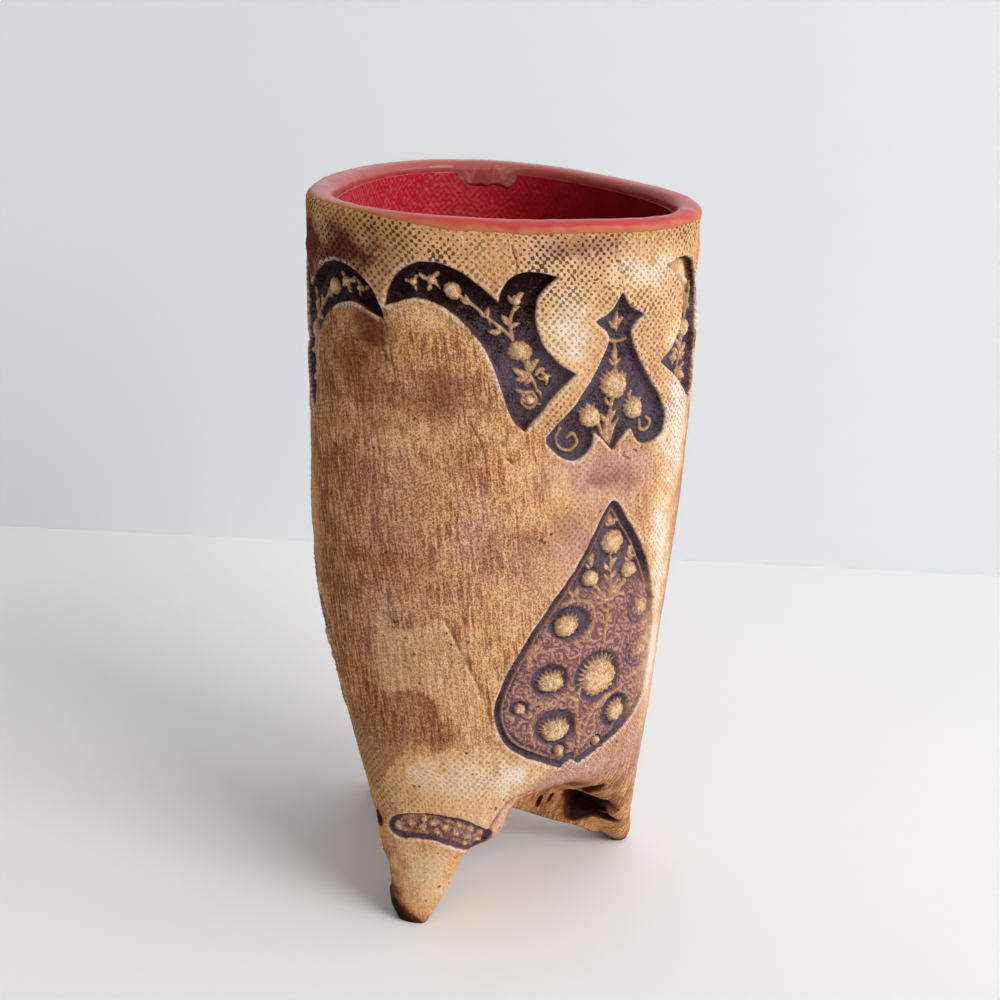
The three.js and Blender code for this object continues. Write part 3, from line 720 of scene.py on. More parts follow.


# Washes, painted shade and wiped patches on the unrolled wall: soft spots as place, height, half width, half
# height and strength, given outlines, and creases as a line, a width and a depth
clayZones = {
    # brown washes; the spots below zero round also paint shade over them on the pot's shaded left side
    "brown": [
        (9, 169, 9, 10, 0.9), (5, 163, 16, 17, 0.7), (-8, 156, 10, 26, 0.6), (5, 189, 17, 11, 0.95),
        (26, 155, 12, 8, 0.7), (10, 109, 14, 15, 0.35), (-16, 105, 14, 50, 0.48), (33, 115, 4, 7, 0.5),
        (30, 138, 9, 7, 0.4), (66, 193.5, 13, 4, 0.75), (70, 131, 14, 5, 0.7), (45, 112, 6, 10, 0.5),
        (57, 117, 6, 9, 0.5), (-10, 54, 12, 17, 0.6), (-12, 187, 30, 13, 1.0), (99, 42, 5, 14, 0.45),
        (18, 128, 8, 10, 0.3), (92, 38, 6, 6, 0.4), (20, 191, 26, 4, 0.25), (-7, 6, 7, 9, 1.0),
        (24, 24, 4, 6, 0.5),
    ],
    "pale": [
        (25, 174.5, 11, 4, 0.5), (1, 170.5, 9, 3.5, 0.35), (15, 143, 9, 8, 0.45), (45, 133, 7, 15, 0.55),
        (56, 131, 6, 9, 0.6), (64, 177, 9, 12, 0.85), (57, 169, 6, 9, 0.7), (88, 186, 12, 9, 0.95),
        (38, 96, 9, 13, 0.5), (48, 104, 4, 8, 0.5), (32, 80, 8, 15, 0.5), (21, 45, 25, 13, 0.8),
        (37, 46, 11, 8, 0.98), (94, 108, 8, 30, 1.0), (97, 150, 9, 26, 1.0), (82, 186, 18, 7, 0.85),
        (95, 70, 6, 24, 0.95), (62, 172, 10, 16, 0.9), (66, 127, 6, 3, 0.4), (6, 16, 12, 15, 0.72),
        (38, 172, 3, 8, 0.5),
    ],
    "mauve": [
        (70, 131, 18, 8, 0.9), (60, 112, 10, 12, 0.7), (60, 42, 26, 8, 1.0), (90, 46, 14, 9, 1.0),
        (97, 72, 10, 44, 1.0), (67, 193, 14, 4, 0.7), (46, 107, 9, 14, 0.5), (26, 150, 14, 14, 0.25),
        (31, 118, 8, 14, 0.5), (33, 33, 13, 5, 1.0), (12, 125, 16, 20, 0.3), (5, 85, 10, 20, 0.4),
        (20, 100, 14, 14, 0.3),
    ],
    "rubbed": [(106, 184, 10, 9, 0.95), (84, 50, 8, 6, 0.5)],
    "faded": [(92.5, 82, 6.5, 34, 0.9), (88, 56, 6, 6, 0.5)],
    "wiped": [
        [(-1.6, 69), (-1.4, 80), (0.2, 90), (2, 93), (4, 92.4), (6, 90.8), (9, 90.4), (13, 91.6),
         (19.6, 93.6), (22, 90), (26, 79), (30, 67), (29, 60), (22, 57), (21, 62), (17, 66), (16, 70),
         (9, 72.4), (4, 71), (-1.6, 69)],
    ],
    "tide": [
        [(-12, 65), (-3, 66.6), (1, 67.8), (5, 70.6), (9, 71.4), (13, 70.9), (16, 68.4), (16.2, 65.2),
         (19.2, 61.8), (20.6, 58.8), (17.6, 55.8), (13, 53.8), (10.6, 56), (6, 56.4), (2, 50), (-2, 46),
         (-8, 38), (-16, 44), (-14, 58), (-12, 65)],
    ],
    "creases": [
        ([(20.4, 94), (23, 87), (26.4, 78), (30, 66)], 0.7, 0.35),
        ([(32.6, 148), (35.2, 141), (35.4, 134)], 0.5, 0.3),
        ([(12.8, 175.6), (11.6, 168), (12.6, 163)], 0.7, 0.4),
        ([(76.4, 197), (75.8, 191), (77, 186.5)], 0.45, 0.7),
        ([(47.4, 193.4), (48.2, 188.6), (46.8, 184.6)], 0.45, 0.6),
        ([(22, 24.6), (26, 30), (31, 33.6), (37, 36.2), (45, 38)], 1.1, 0.6),
        ([(41.6, 138.4), (42.6, 137.4)], 0.7, 0.8), ([(40, 143), (40.6, 142)], 0.5, 0.6),
        ([(76, 137), (78.4, 135.8)], 0.5, 0.5), ([(60, 170.4), (66.4, 169)], 0.3, 0.2),
        ([(61, 168.6), (66, 167.4)], 0.3, 0.2),
    ],
}


# Distance from the middle of a spot, 1 on its edge
def spotReach(spot):
    place, height, halfWidth, halfHeight = spot[:4]
    return np.hypot(roundDistance(skin["along"], place) / halfWidth, (skin["up"] - height) / halfHeight)


def spots(places, seed):
    along, up = skin["along"], skin["up"]
    ragged = 0.3 * softNoise(along, up, 8, seed) + 0.22 * softNoise(along, up, 3, seed + 1)
    ragged = ragged + 0.16 * softNoise(along, up, 1.4, seed + 2)
    total = np.zeros(up.shape)
    for spot in places:
        total = np.maximum(total, spot[4] * rise(1.65, 0.05, spotReach(spot) + ragged))
    return total


# The part of the wall where outlines are laid
patchBounds = {"side": 60, "low": 25, "high": 105, "outside": -9.0}


def patch(stretches, softness):
    x, up = wrapRound(skin["along"]), skin["up"]
    near = (np.abs(x) < patchBounds["side"]) & (up > patchBounds["low"]) & (up < patchBounds["high"])
    x, y = x[near], up[near]
    ragged = 0.7 * softNoise(x, y, 4, 31) + 0.5 * softNoise(x, y, 1.4, 32)
    depth = np.full(up.shape, patchBounds["outside"])
    depth[near] = depthInside(closedOutline(stretches), x, y) + ragged
    return rise(-softness, softness, depth)


# Heights between which each treatment of the clay comes in
clayBands = {
    "archTop": (181, 176),
    "archFoot": (50, 60),
    "foldTop": (47, 43),
    "canvasTop": (168, 178),
    "canvasMiddle": (124, 150),
    "canvasLow": (62, 84),
    "canvasFold": (60, 52),
    "canvasFoot": (20, 40),
}
# Distances round the wall between which it comes in, and where they are measured from
claySpans = {
    "arch": {"ends": (41, 33), "past": 1.5},
    "fold": {"ends": (42, 50), "place": 13},
    "amber": {"ends": (60, 20), "place": -20},
}
bareDepth = (0.1, -0.3)
toeDarkSpot = (-8, 2, 10, 9)


def layZones():
    along, up, outside = skin["along"], skin["up"], skin["outside"]
    height = skin["points"][..., 2]
    band = {name: rise(*ends, up) for name, ends in clayBands.items()}
    arch, fold, glow = claySpans["arch"], claySpans["fold"], claySpans["amber"]
    smooth = np.zeros(up.shape)
    for cusp in cusps:
        between = rise(*arch["ends"], roundDistance(along, cusp + arch["past"]))
        smooth = np.maximum(smooth, between * band["archTop"] * band["archFoot"])
    under = band["foldTop"] * rise(*fold["ends"], roundDistance(along, fold["place"]))
    canvas = np.maximum.reduce([band["canvasTop"], 0.75 * band["canvasMiddle"], 0.5 * band["canvasLow"]])
    folded = mix(0.15, 0.5, band["canvasFoot"]) * band["canvasFold"] * (1 - 0.9 * under)
    canvas = np.maximum(canvas * (1 - 0.97 * smooth), folded)
    canvas = canvas * (0.8 + 0.45 * softNoise(along, up, 14, 41)) * outside
    rubbed = spots(clayZones["rubbed"], 55) * rise(0.3, 1.1, skin["depth"])
    for layer in ("ground", "field", "lift"):
        skin[layer] *= (1 - rubbed) * (1 - spots(clayZones["faded"], 56))
    # the feet darker low down, most on the front foot's left; then the brown washes with painted shade on
    # the pot's left, the tide stain, and darker where the skin faces down
    tip = height + 1.2 * softNoise(along, up, 5, 63) + 0.3 * np.minimum(np.mod(along + 10, girth), 16)
    tip = np.maximum(rise(9, 3, tip), rise(1.15, 0.6, spotReach(toeDarkSpot)))
    tide = patch(clayZones["tide"], 0.45)
    washAndShade = np.maximum.reduce([spots(clayZones["brown"], 51), 0.52 * tide, 0.85 * (1 - outside), tip])
    pale = np.maximum(0.56 * patch(clayZones["wiped"], 0.5), spots(clayZones["pale"], 71)) * (1 - tide)
    pale = np.maximum(pale * rise(2, 8, height), 0.8 * rubbed)
    skin["amber"] = rise(192.5, 197, up + 2 * softNoise(along, up, 9, 64)) * outside
    skin["amber"] *= 0.55 + 0.45 * rise(*glow["ends"], roundDistance(along, glow["place"]))
    skin["canvas"] = np.clip(canvas * rise(*bareDepth, skin["depth"]), 0, 1)
    skin["washAndShade"] = np.clip(washAndShade, 0, 1) + 0.42 * tip
    skin["mauve"] = np.clip(spots(clayZones["mauve"], 81) * outside, 0, 1)
    skin["pale"] = np.clip(pale, 0, 1) * outside
    skin["smooth"] = np.clip(smooth + 0.35 * under, 0, 1)


layZones()

# Dents made by hand under the folds: place, height, half width, half height, depth and how dark they are
# painted, with oxide and painted shade in the hollow
foldDents = [
    (84, 13, 7, 5.5, 6, 0.95), (86.5, 9, 6.5, 6, 0.4, 0.6), (79, 24, 2, 6, 2, 0.4),
    (93, 9.5, 4.5, 2, 2, 0.6), (71.5, 5, 0.8, 2.5, 1.2, 0.35), (74.5, 9, 0.7, 2.5, 1, 0.35),
    (-12, 28, 4.5, 2.6, 0.6, 0.9), (128, 14, 6, 6, 3, 0.1), (205, 13, 6, 7, 3.4, 0.2),
    (232, 14, 6, 6, 3, 0.1), (314, 14, 6, 7, 3.2, 0.2),
]
toeSwells = [
    (-6, 4, 7, 6, 1.2), (-9, 16, 8, 9, 0.5), (31, 26, 10, 10, 2.2), (30, 27, 11, 10, 2.2),
    (105, 4, 6, 5, 0.7), (214, 5, 7, 6, 0.8),
]


# Where the clay is left as it was: towards the keel's last rows and the lip
untouched = {"rows": 6, "lip": (196.4, 193.6), "floor": 0.02}


# Hand-made unevenness: slow waves, canvas dimples, creases, and crumpling under the folds
def workClay():
    along, up, outside = skin["along"], skin["up"], skin["outside"]
    waves = 0.45 * softNoise(along, up, 34, 91) + 0.15 * softNoise(along, up, 11, 92)
    dimples = rise(0.2, 0.9, np.cos(weavePitch * along) * np.cos(weavePitch * up))
    rough = 0.06 * softNoise(along, up, 1.3, 93) * rise(*bareDepth, skin["depth"])
    skin["dent"] += waves - 0.2 * dimples * skin["canvas"] + rough
    for points, width, depth in clayZones["creases"]:
        line = smoothLine(points)
        near = (roundDistance(along, line[:, 0].mean()) < 16) & (np.abs(up - line[:, 1].mean()) < 26)
        groove = rise(width, 0.1, distanceToLine(line, wrapRound(along[near]), up[near]))
        skin["dent"][near] -= depth * groove
        # the crease is also darkened along its groove
        skin["washAndShade"][near] = np.maximum(skin["washAndShade"][near], 0.8 * groove)
    # each fold dent is deepened and painted dark: oxide with painted shade in the hollow
    for spot in foldDents:
        depth, shadeAndOxide = spot[4:]
        reach = spotReach(spot)
        dent = rise(1.25, 0.2, reach + 0.3 * softNoise(along, up, 3.5, 96))
        shadow = rise(1.45, 0.6, reach + 0.35 * softNoise(along, up, 3, 97))
        skin["dent"] -= depth * dent
        skin["washAndShade"] = np.maximum(skin["washAndShade"], shadow * (1 + shadeAndOxide))
        skin["canvas"] *= 1 - rise(2.2, 1.2, reach)
        skin["pale"] *= 1 - dent
    for spot in toeSwells:
        skin["dent"] += spot[4] * rise(1.3, 0, spotReach(spot))
    skin["dent"] += (1 - outside) * (0.9 * softNoise(along, up, 9, 94) + 0.4 * softNoise(along, up, 4, 95))
    fadeRows = skinRows["keel"] + untouched["rows"]
    fade = np.ones(up.shape[0])
    fade[-fadeRows:] = np.linspace(1, 0, fadeRows)
    skin["dent"] *= fade[:, None] * rise(*untouched["lip"], up)
    points = skin["points"] + skin["normals"] * skin["dent"][..., None]
    onFloor = skin["points"][..., 2] < untouched["floor"]
    points[..., 2] = np.where(onFloor, 0, np.maximum(points[..., 2], 0))
    skin["places"] = settle(points)


workClay()
print("clay worked")


def activate(*pieces):
    bpy.ops.object.select_all(action="DESELECT")
    for piece in pieces:
        piece.select_set(True)
    bpy.context.view_layer.objects.active = pieces[0]


# A grid primitive whose rows and columns are laid on given places
def gridPiece(name, places):
    rows, columns = places.shape[:2]
    bpy.ops.object.select_all(action="DESELECT")
    bpy.ops.mesh.primitive_grid_add(x_subdivisions=columns - 1, y_subdivisions=rows - 1, size=2)
    piece = bpy.context.object
    piece.name = name
    piece.data.name = name
    piece.data.vertices.foreach_set("co", places.astype(np.float32).ravel())
    piece.data.update()
    return piece


def paintTone(piece, name, layers):
    tone = piece.data.attributes.new(name, "FLOAT_COLOR", "POINT")
    tone.data.foreach_set("color", np.stack(layers, -1).astype(np.float32).ravel())


def layUv(piece, along, up):
    corners = np.empty(len(piece.data.loops), np.int32)
    piece.data.loops.foreach_get("vertex_index", corners)
    flat = np.stack([along.ravel(), up.ravel()], -1)[corners] * mm
    piece.data.uv_layers.active.data.foreach_set("uv", flat.astype(np.float32).ravel())


# A fine piece of the clay skin, rows and columns given, with its tones and unrolled place
def skinPiece(name, rows, columns):
    total = skin["up"].shape[1]
    block = np.ix_(rows, np.mod(columns, total))
    piece = gridPiece(name, skin["places"][block])
    turns = np.floor_divide(columns, total) * girth
    layUv(piece, skin["along"][block] + turns[None, :], skin["up"][block])
    depth = skin["depth"][block] / (2 * depthReach) + 0.5
    paintTone(piece, "stampTone", [skin[layer][block] for layer in ("ground", "lift", "field")] + [depth])
    paintTone(piece, "clayTone", [skin[layer][block] for layer in ("canvas", "washAndShade", "mauve", "pale")])
    paintTone(piece, "workTone", [skin[layer][block] for layer in ("smooth", "amber", "slate", "scroll")])
    return piece


# Joins a plain inner face to a fine outer one and closes the edges between them
def closeWith(piece, inner):
    activate(piece, inner)
    bpy.ops.object.join()
    bpy.ops.object.mode_set(mode="EDIT")
    bpy.ops.mesh.select_mode(type="EDGE")
    bpy.ops.mesh.select_all(action="DESELECT")
    bpy.ops.mesh.select_non_manifold()
    bpy.ops.mesh.mark_sharp()
    bpy.ops.mesh.bridge_edge_loops()
    bpy.ops.mesh.select_all(action="SELECT")
    bpy.ops.mesh.normals_make_consistent(inside=False)
    bpy.ops.object.mode_set(mode="OBJECT")


tolerance = {"cut": 0.02, "weld": 0.004}


# Cuts a closed piece level, keeps one side and closes the cut
def cutLevel(piece, height, keepAbove):
    activate(piece)
    bpy.ops.object.mode_set(mode="EDIT")
    bpy.ops.mesh.select_mode(type="EDGE")
    bpy.ops.mesh.select_all(action="SELECT")
    bpy.ops.mesh.bisect(plane_co=(0, 0, height * mm), plane_no=(0, 0, 1), use_fill=True,
                        clear_inner=keepAbove, clear_outer=not keepAbove, threshold=tolerance["cut"] * mm)
    bpy.ops.mesh.mark_sharp()
    bpy.ops.object.mode_set(mode="OBJECT")


def mergeDoubles(piece):
    activate(piece)
    bpy.ops.object.mode_set(mode="EDIT")
    bpy.ops.mesh.select_all(action="SELECT")
    bpy.ops.mesh.remove_doubles(threshold=tolerance["weld"] * mm)
    bpy.ops.mesh.normals_make_consistent(inside=False)
    bpy.ops.object.mode_set(mode="OBJECT")


def finishPiece(piece, node, finish):
    activate(piece)
    bpy.ops.object.shade_smooth()
    piece.data.materials.clear()
    piece.data.materials.append(finish)
    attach(piece, "root")
    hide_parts(node)
    piece.data.calc_loop_triangles()
    print(piece.name, len(piece.data.loop_triangles), "triangles")


# One value in a finish, so that sums of values are written as sums
class Tone:
    def __init__(self, finish, socket):
        self.finish = finish
        self.socket = socket

    def sum(self, operation, first, second):
        return self.finish.add("ShaderNodeMath", {"operation": operation}, {0: first, 1: second})

    def __add__(self, other):
        return self.sum("ADD", self, other)

    def __radd__(self, other):
        return self.sum("ADD", other, self)

    def __sub__(self, other):
        return self.sum("SUBTRACT", self, other)

    def __rsub__(self, other):
        return self.sum("SUBTRACT", other, self)

    def __mul__(self, other):
        return self.sum("MULTIPLY", self, other)

    def __rmul__(self, other):
        return self.sum("MULTIPLY", other, self)

    def cosine(self):
        return self.sum("COSINE", self, 0)

    # A noise counted from its middle
    def swing(self, amount):
        return (self - 0.5) * amount

    def between(self, low, high):
        sockets = {"Value": self, "From Min": low, "From Max": high}
        return self.finish.add("ShaderNodeMapRange", {"interpolation_type": "SMOOTHSTEP"}, sockets)


# A material, its named colours and its nodes
class Finish:
    def __init__(self, name, colours=None):
        self.colours = colours
        self.material = bpy.data.materials.new(name)
        self.material.use_nodes = True
        self.nodes = self.material.node_tree.nodes
        self.nodes.clear()

    def add(self, kind, settings=None, sockets=None, output=0):
        node = self.nodes.new(kind)
        for key, value in (settings or {}).items():
            setattr(node, key, value)
        for key, value in (sockets or {}).items():
            if isinstance(value, Tone):
                self.material.node_tree.links.new(value.socket, node.inputs[key])
            else:
                node.inputs[key].default_value = value
        return Tone(self, node.outputs[output])

    # A colour laid over another by a share, either of them by its name
    def lay(self, under, over, share):
        under, over = [tone if isinstance(tone, Tone) else (*self.colours[tone], 1) for tone in (under, over)]
        return self.add("ShaderNodeMix", {"data_type": "RGBA"}, {0: share, 6: under, 7: over}, 2)

    # Place on the object, and unrolled place round and up in millimetres
    def places(self):
        unrolled = self.add("ShaderNodeUVMap", {"uv_map": "UVMap"})
        along = self.add("ShaderNodeSeparateXYZ", None, {0: unrolled}, 0) * (1 / mm)
        up = self.add("ShaderNodeSeparateXYZ", None, {0: unrolled}, 1) * (1 / mm)
        return self.add("ShaderNodeTexCoord", None, None, "Object"), along, up

    # Canvas threads, 1 and -1 by turns in staggered rows
    def weave(self, along, up, sway):
        return ((along + sway) * weavePitch).cosine() * ((up + sway) * weavePitch).cosine()

    def cells(self, place, scale):
        return self.add("ShaderNodeTexVoronoi", None, {"Vector": place, "Scale": scale}, "Distance")

    def parts(self, colour):
        return [self.add("ShaderNodeSeparateColor", None, {0: colour}, part) for part in range(3)]

    def noise(self, place, scale, detail, roughness):
        sockets = {"Vector": place, "Scale": scale, "Detail": detail, "Roughness": roughness}
        return self.add("ShaderNodeTexNoise", None, sockets, 0)

    def attribute(self, name):
        settings = {"attribute_name": name}
        return (self.parts(self.add("ShaderNodeAttribute", settings, None, "Color"))
                + [self.add("ShaderNodeAttribute", settings, None, "Alpha")])

    def bump(self, height, distance, strength):
        sockets = {"Height": height, "Distance": distance, "Strength": strength}
        return self.add("ShaderNodeBump", None, sockets)

    def surface(self, sockets):
        shader = self.add("ShaderNodeBsdfPrincipled", None, sockets)
        out = self.nodes.new("ShaderNodeOutputMaterial")
        self.material.node_tree.links.new(shader.socket, out.inputs["Surface"])
        return self.material


clayColours = {
    "tan": (0.73, 0.37, 0.145),
    "sand": (0.79, 0.50, 0.245),
    "gold": (0.74, 0.465, 0.235),
    "warm": (0.33, 0.118, 0.048),
    "brown": (0.115, 0.022, 0.009),
    "mauve": (0.64, 0.37, 0.325),
    "cream": (0.86, 0.69, 0.57),
    "amber": (0.56, 0.30, 0.075),
    "dot": (0.040, 0.013, 0.008),
    "slate": (0.125, 0.085, 0.112),
    "plum": (0.013, 0.002, 0.002),
    "nearBlack": (0.020, 0.007, 0.005),
    "field": (0.20, 0.088, 0.083),
    "scroll": (0.47, 0.25, 0.205),
    "sprig": (0.40, 0.215, 0.115),
    "worn": (0.74, 0.50, 0.285),
}


# Noises by scale, detail and roughness
clayNoises = {
    "wander": (55.0, 2.0, 0.5),
    "mottle": (34.0, 4.0, 0.6),
    "patchy": (420.0, 1.0, 0.5),
    "blotch": (150.0, 2.0, 0.5),
    "grain": (2200.0, 2.0, 0.6),
    "fleck": (800.0, 2.0, 0.6),
    "brush": (1.0, 4.0, 0.62),
}
pitScale, speckScale = 1650.0, 330.0


def firedClay():
    clay = Finish("firedClay", clayColours)
    place, along, up = clay.places()
    ground, lift, field, depth = clay.attribute("stampTone")
    canvas, washAndShade, mauve, pale = clay.attribute("clayTone")
    smooth, amber, slate, scroll = clay.attribute("workTone")
    names = ("wander", "mottle", "patchy", "blotch", "grain", "fleck")
    wander, mottle, patchy, blotch, grain, fleck = [clay.noise(place, *clayNoises[name]) for name in names]
    # stamps end cleanly at their outlines, with a cream line along the edge: wear, and a painted highlight
    depth = depth.swing(2 * depthReach) + patchy.swing(0.3)
    pressed = depth.between(-0.3, 0.1)
    ground, lift, field = ground * pressed, lift * pressed, field * pressed
    edge = depth.between(-1.5, -0.5) * depth.between(0.0, -0.3) * blotch.between(0.35, 0.6)
    # canvas dimples in staggered rows that wander a little
    weave = clay.weave(along, up, wander.swing(2.6) + patchy.swing(1.3))
    dots = (weave + grain.swing(0.9) + fleck.swing(1.8) + blotch.swing(2.2)).between(0.28, 0.58) * canvas
    # long brush marks, fine pits in the clay and a few larger specks
    brushPlace = clay.add("ShaderNodeCombineXYZ", None, {0: along * 1.3, 1: up * 0.14, 2: wander * 2})
    brush = clay.noise(brushPlace, *clayNoises["brush"])
    pitting = clay.cells(place, pitScale) + fleck.swing(0.5) + mottle.swing(-0.35) + brush.swing(0.5)
    pits = (pitting + pale * 0.06).between(0.66, 0.26) * (0.4 + 0.6 * smooth)
    specks = (clay.cells(place, speckScale) + blotch.swing(0.5) + grain.swing(0.2)).between(0.11, 0.02)
    # shares of the washes with their painted shade, wiped patches and rubbed places
    shade = mottle.swing(1.1) + 0.4 + brush.swing(0.7 + smooth * 1.1) + blotch.swing(0.6) + grain.swing(0.5)
    browned = washAndShade * (0.38 + 0.75 * brush) + washAndShade.between(0.7, 1.0) * 0.14
    wiping = pale * (0.3 + 0.85 * brush) + grain.swing(0.2)
    rubbed = grain * 0.45 + fleck * 0.25 + brush * 0.4
    blackening = washAndShade + brush.swing(0.6) + blotch.swing(0.5)
    scrollShare = scroll * 0.8 + grain.swing(1.7) + fleck.swing(1.2) + 0.1
    groundShare = slate * 0.75 + blotch.swing(0.9) + grain.swing(1.5) + fleck.swing(0.8)
    worn = grain * 0.55 + fleck * 0.45 + lift * 0.25
    layers = [
        ("gold", canvas * 0.55),
        ("mauve", mauve * (0.35 + 0.9 * mottle)),
        ("brown", browned.between(0.02, 0.97)),
        (clay.lay("sand", "cream", pale.between(0.55, 1.05)), wiping.between(0.05, 0.68)),
        ("amber", amber * (0.3 + 0.8 * mottle)),
        ("cream", edge * 0.55),
        ("cream", rubbed.between(0.56, 0.72) * washAndShade.between(0.9, 0.1) * 0.5),
        ("brown", pits * (0.54 - 0.22 * pale)),
        ("dot", dots * (0.92 - 0.28 * pale)),
        ("dot", specks * 0.75),
        # near black in the fold dents, oxide with painted shade there, and low on the front foot
        ("nearBlack", blackening.between(1.0, 1.55)),
        (clay.lay("field", "scroll", scrollShare.between(0.1, 0.9)), field),
        (clay.lay("plum", "slate", groundShare.between(0.0, 0.95)), ground),
        (clay.lay("sprig", "worn", worn.between(0.60, 0.78)), lift.between(0.08, 0.45)),
    ]
    colour = clay.lay("warm", "tan", shade.between(0.12, 0.53))
    for over, share in layers:
        colour = clay.lay(colour, over, share)
    height = grain * 0.35 - dots + brush.swing(0.5) * smooth - specks * 0.6 + fleck * 0.2 - pits * 0.4
    return clay.surface({
        "Base Color": colour,
        "Roughness": 0.86 - ground * 0.2,
        "Specular IOR Level": 0.08,
        "Normal": clay.bump(height, 0.4 * mm, 0.8),
    })


glazeColours = {
    "litRed": (0.43, 0.012, 0.022),
    "shadedRed": (0.15, 0.0005, 0.001),
    "rose": (0.40, 0.062, 0.055),
    "pink": (0.37, 0.075, 0.058),
    "blush": (0.54, 0.20, 0.17),
    "flush": (0.47, 0.045, 0.040),
    "thin": (0.50, 0.19, 0.07),
    "bloom": (0.56, 0.115, 0.125),
}


glazeNoises = {"clouds": (90.0, 3.0, 0.55), "fine": (900.0, 2.0, 0.5)}


def runGlaze():
    glaze = Finish("runGlaze", glazeColours)
    place, along, up = glaze.places()
    rose, thin, pale, canvas = glaze.attribute("glazeTone")
    clouds, fine = [glaze.noise(place, *noise) for noise in glazeNoises.values()]
    weave = glaze.weave(along, up, clouds.swing(2.4))
    threads = weave * 0.2 + fine * 1.5 + clouds * 0.8
    # shaded red away from the light and lit red on the lining's lit side: painted light; the weave's bloom
    # shows only there
    colour = glaze.lay("shadedRed", "litRed", (canvas + clouds.swing(0.6)).between(-0.1, 0.75))
    colour = glaze.lay(colour, "bloom", canvas * canvas * threads.between(0.95, 1.6) * 0.7)
    cloudy = pale + clouds.swing(0.8)
    coat = glaze.lay("flush", "rose", (pale + clouds.swing(0.9)).between(0.0, 0.5))
    coat = glaze.lay(coat, "pink", (cloudy + fine.swing(0.4)).between(0.55, 1.1))
    coat = glaze.lay(coat, "blush", (cloudy + fine.swing(0.5)).between(1.1, 1.5))
    colour = glaze.lay(colour, coat, rose)
    colour = glaze.lay(colour, "thin", thin * (0.4 + 0.7 * clouds))
    height = weave * canvas * 0.18 + fine * 0.4 + clouds * 0.9
    return glaze.surface({
        "Base Color": colour,
        "Roughness": 0.34 + thin * 0.25 + clouds.swing(0.2),
        "Specular IOR Level": 0.16,
        "Coat Weight": 0.1 + pale * 0.32 - thin * 0.08,
        "Coat Roughness": 0.05,
        "Normal": glaze.bump(height, 0.3 * mm, 0.6),
    })


clayFinish = firedClay()
glazeFinish = runGlaze()
print("finishes made")

sides = ("right", "rear", "left")
feet = ("front", "right", "rear")
perSide = skinRows["columnsPerSide"]
wallEndRow = skinRows["lip"] + skinRows["wall"]
lastRow = wallEndRow + skinRows["fold"] + skinRows["keel"]
coarse = 8  # fine rows or columns to one of an inner face
panelTop = 0.5  # how far below the lip's base an inner face starts


# A side's fine columns and the angles of its inner face
def sideColumns(side):
    angle = np.linspace(side * 120, side * 120 + 120, perSide // coarse + 1)[None, :]
    return np.arange(side * perSide, (side + 1) * perSide + 1), angle


# Wall panels: the stamped outside, over the lip, and a plain inside
def makePanel(side):
    columns, angle = sideColumns(side)
    piece = skinPiece(f"stampedWall{sides[side].title()}", np.arange(wallEndRow + 1), columns)
    height = mix(pot["lipBase"] - panelTop, foldHeight(angle), shares(wallEndRow // coarse))
    inset = pot["wall"] - lipThinning(angle, height)
    inner = gridPiece("innerFace", settle(wallPoint(angle, height, inset)))
    closeWith(piece, inner)
    finishPiece(piece, f"wall_panel_{sides[side]}", clayFinish)


# Gussets: the fold under a panel, with the clay floor above it, down to the top of the feet
def makeGusset(side):
    columns, angle = sideColumns(side)
    piece = skinPiece(f"foldedBase{sides[side].title()}", np.arange(wallEndRow, lastRow + 1), columns)
    inner = gridPiece("floorFace", settle(floorPoint(angle, shares((lastRow - wallEndRow) // coarse), 0.0)))
    closeWith(piece, inner)
    cutLevel(piece, pot["foldRise"], True)
    finishPiece(piece, f"base_gusset_{sides[side]}", clayFinish)


# Feet: both folds that meet over a keel, below the level where the gussets start
def makeFoot(number):
    columns = np.arange(number * perSide - perSide // 2, number * perSide + perSide // 2 + 1)
    rows = np.concatenate([[wallEndRow - 6], np.arange(wallEndRow, lastRow + 1)])
    piece = skinPiece(f"pinchedFoot{feet[number].title()}", rows, columns)
    mergeDoubles(piece)
    cutLevel(piece, pot["foldRise"], False)
    finishPiece(piece, f"foot_{feet[number]}", clayFinish)


for side in range(3):
    makePanel(side)
for side in range(3):
    makeGusset(side)
for number in range(3):
    makeFoot(number)

liner = {
    "columns": 320,
    "wallRows": 100,
    "floorRows": 26,
    "coat": 0.35,
    "thickness": 0.3,
    "litAngle": 305,
    "top": 0.2,
    "rowEase": 1.35,
    "floorDrop": 40,
}


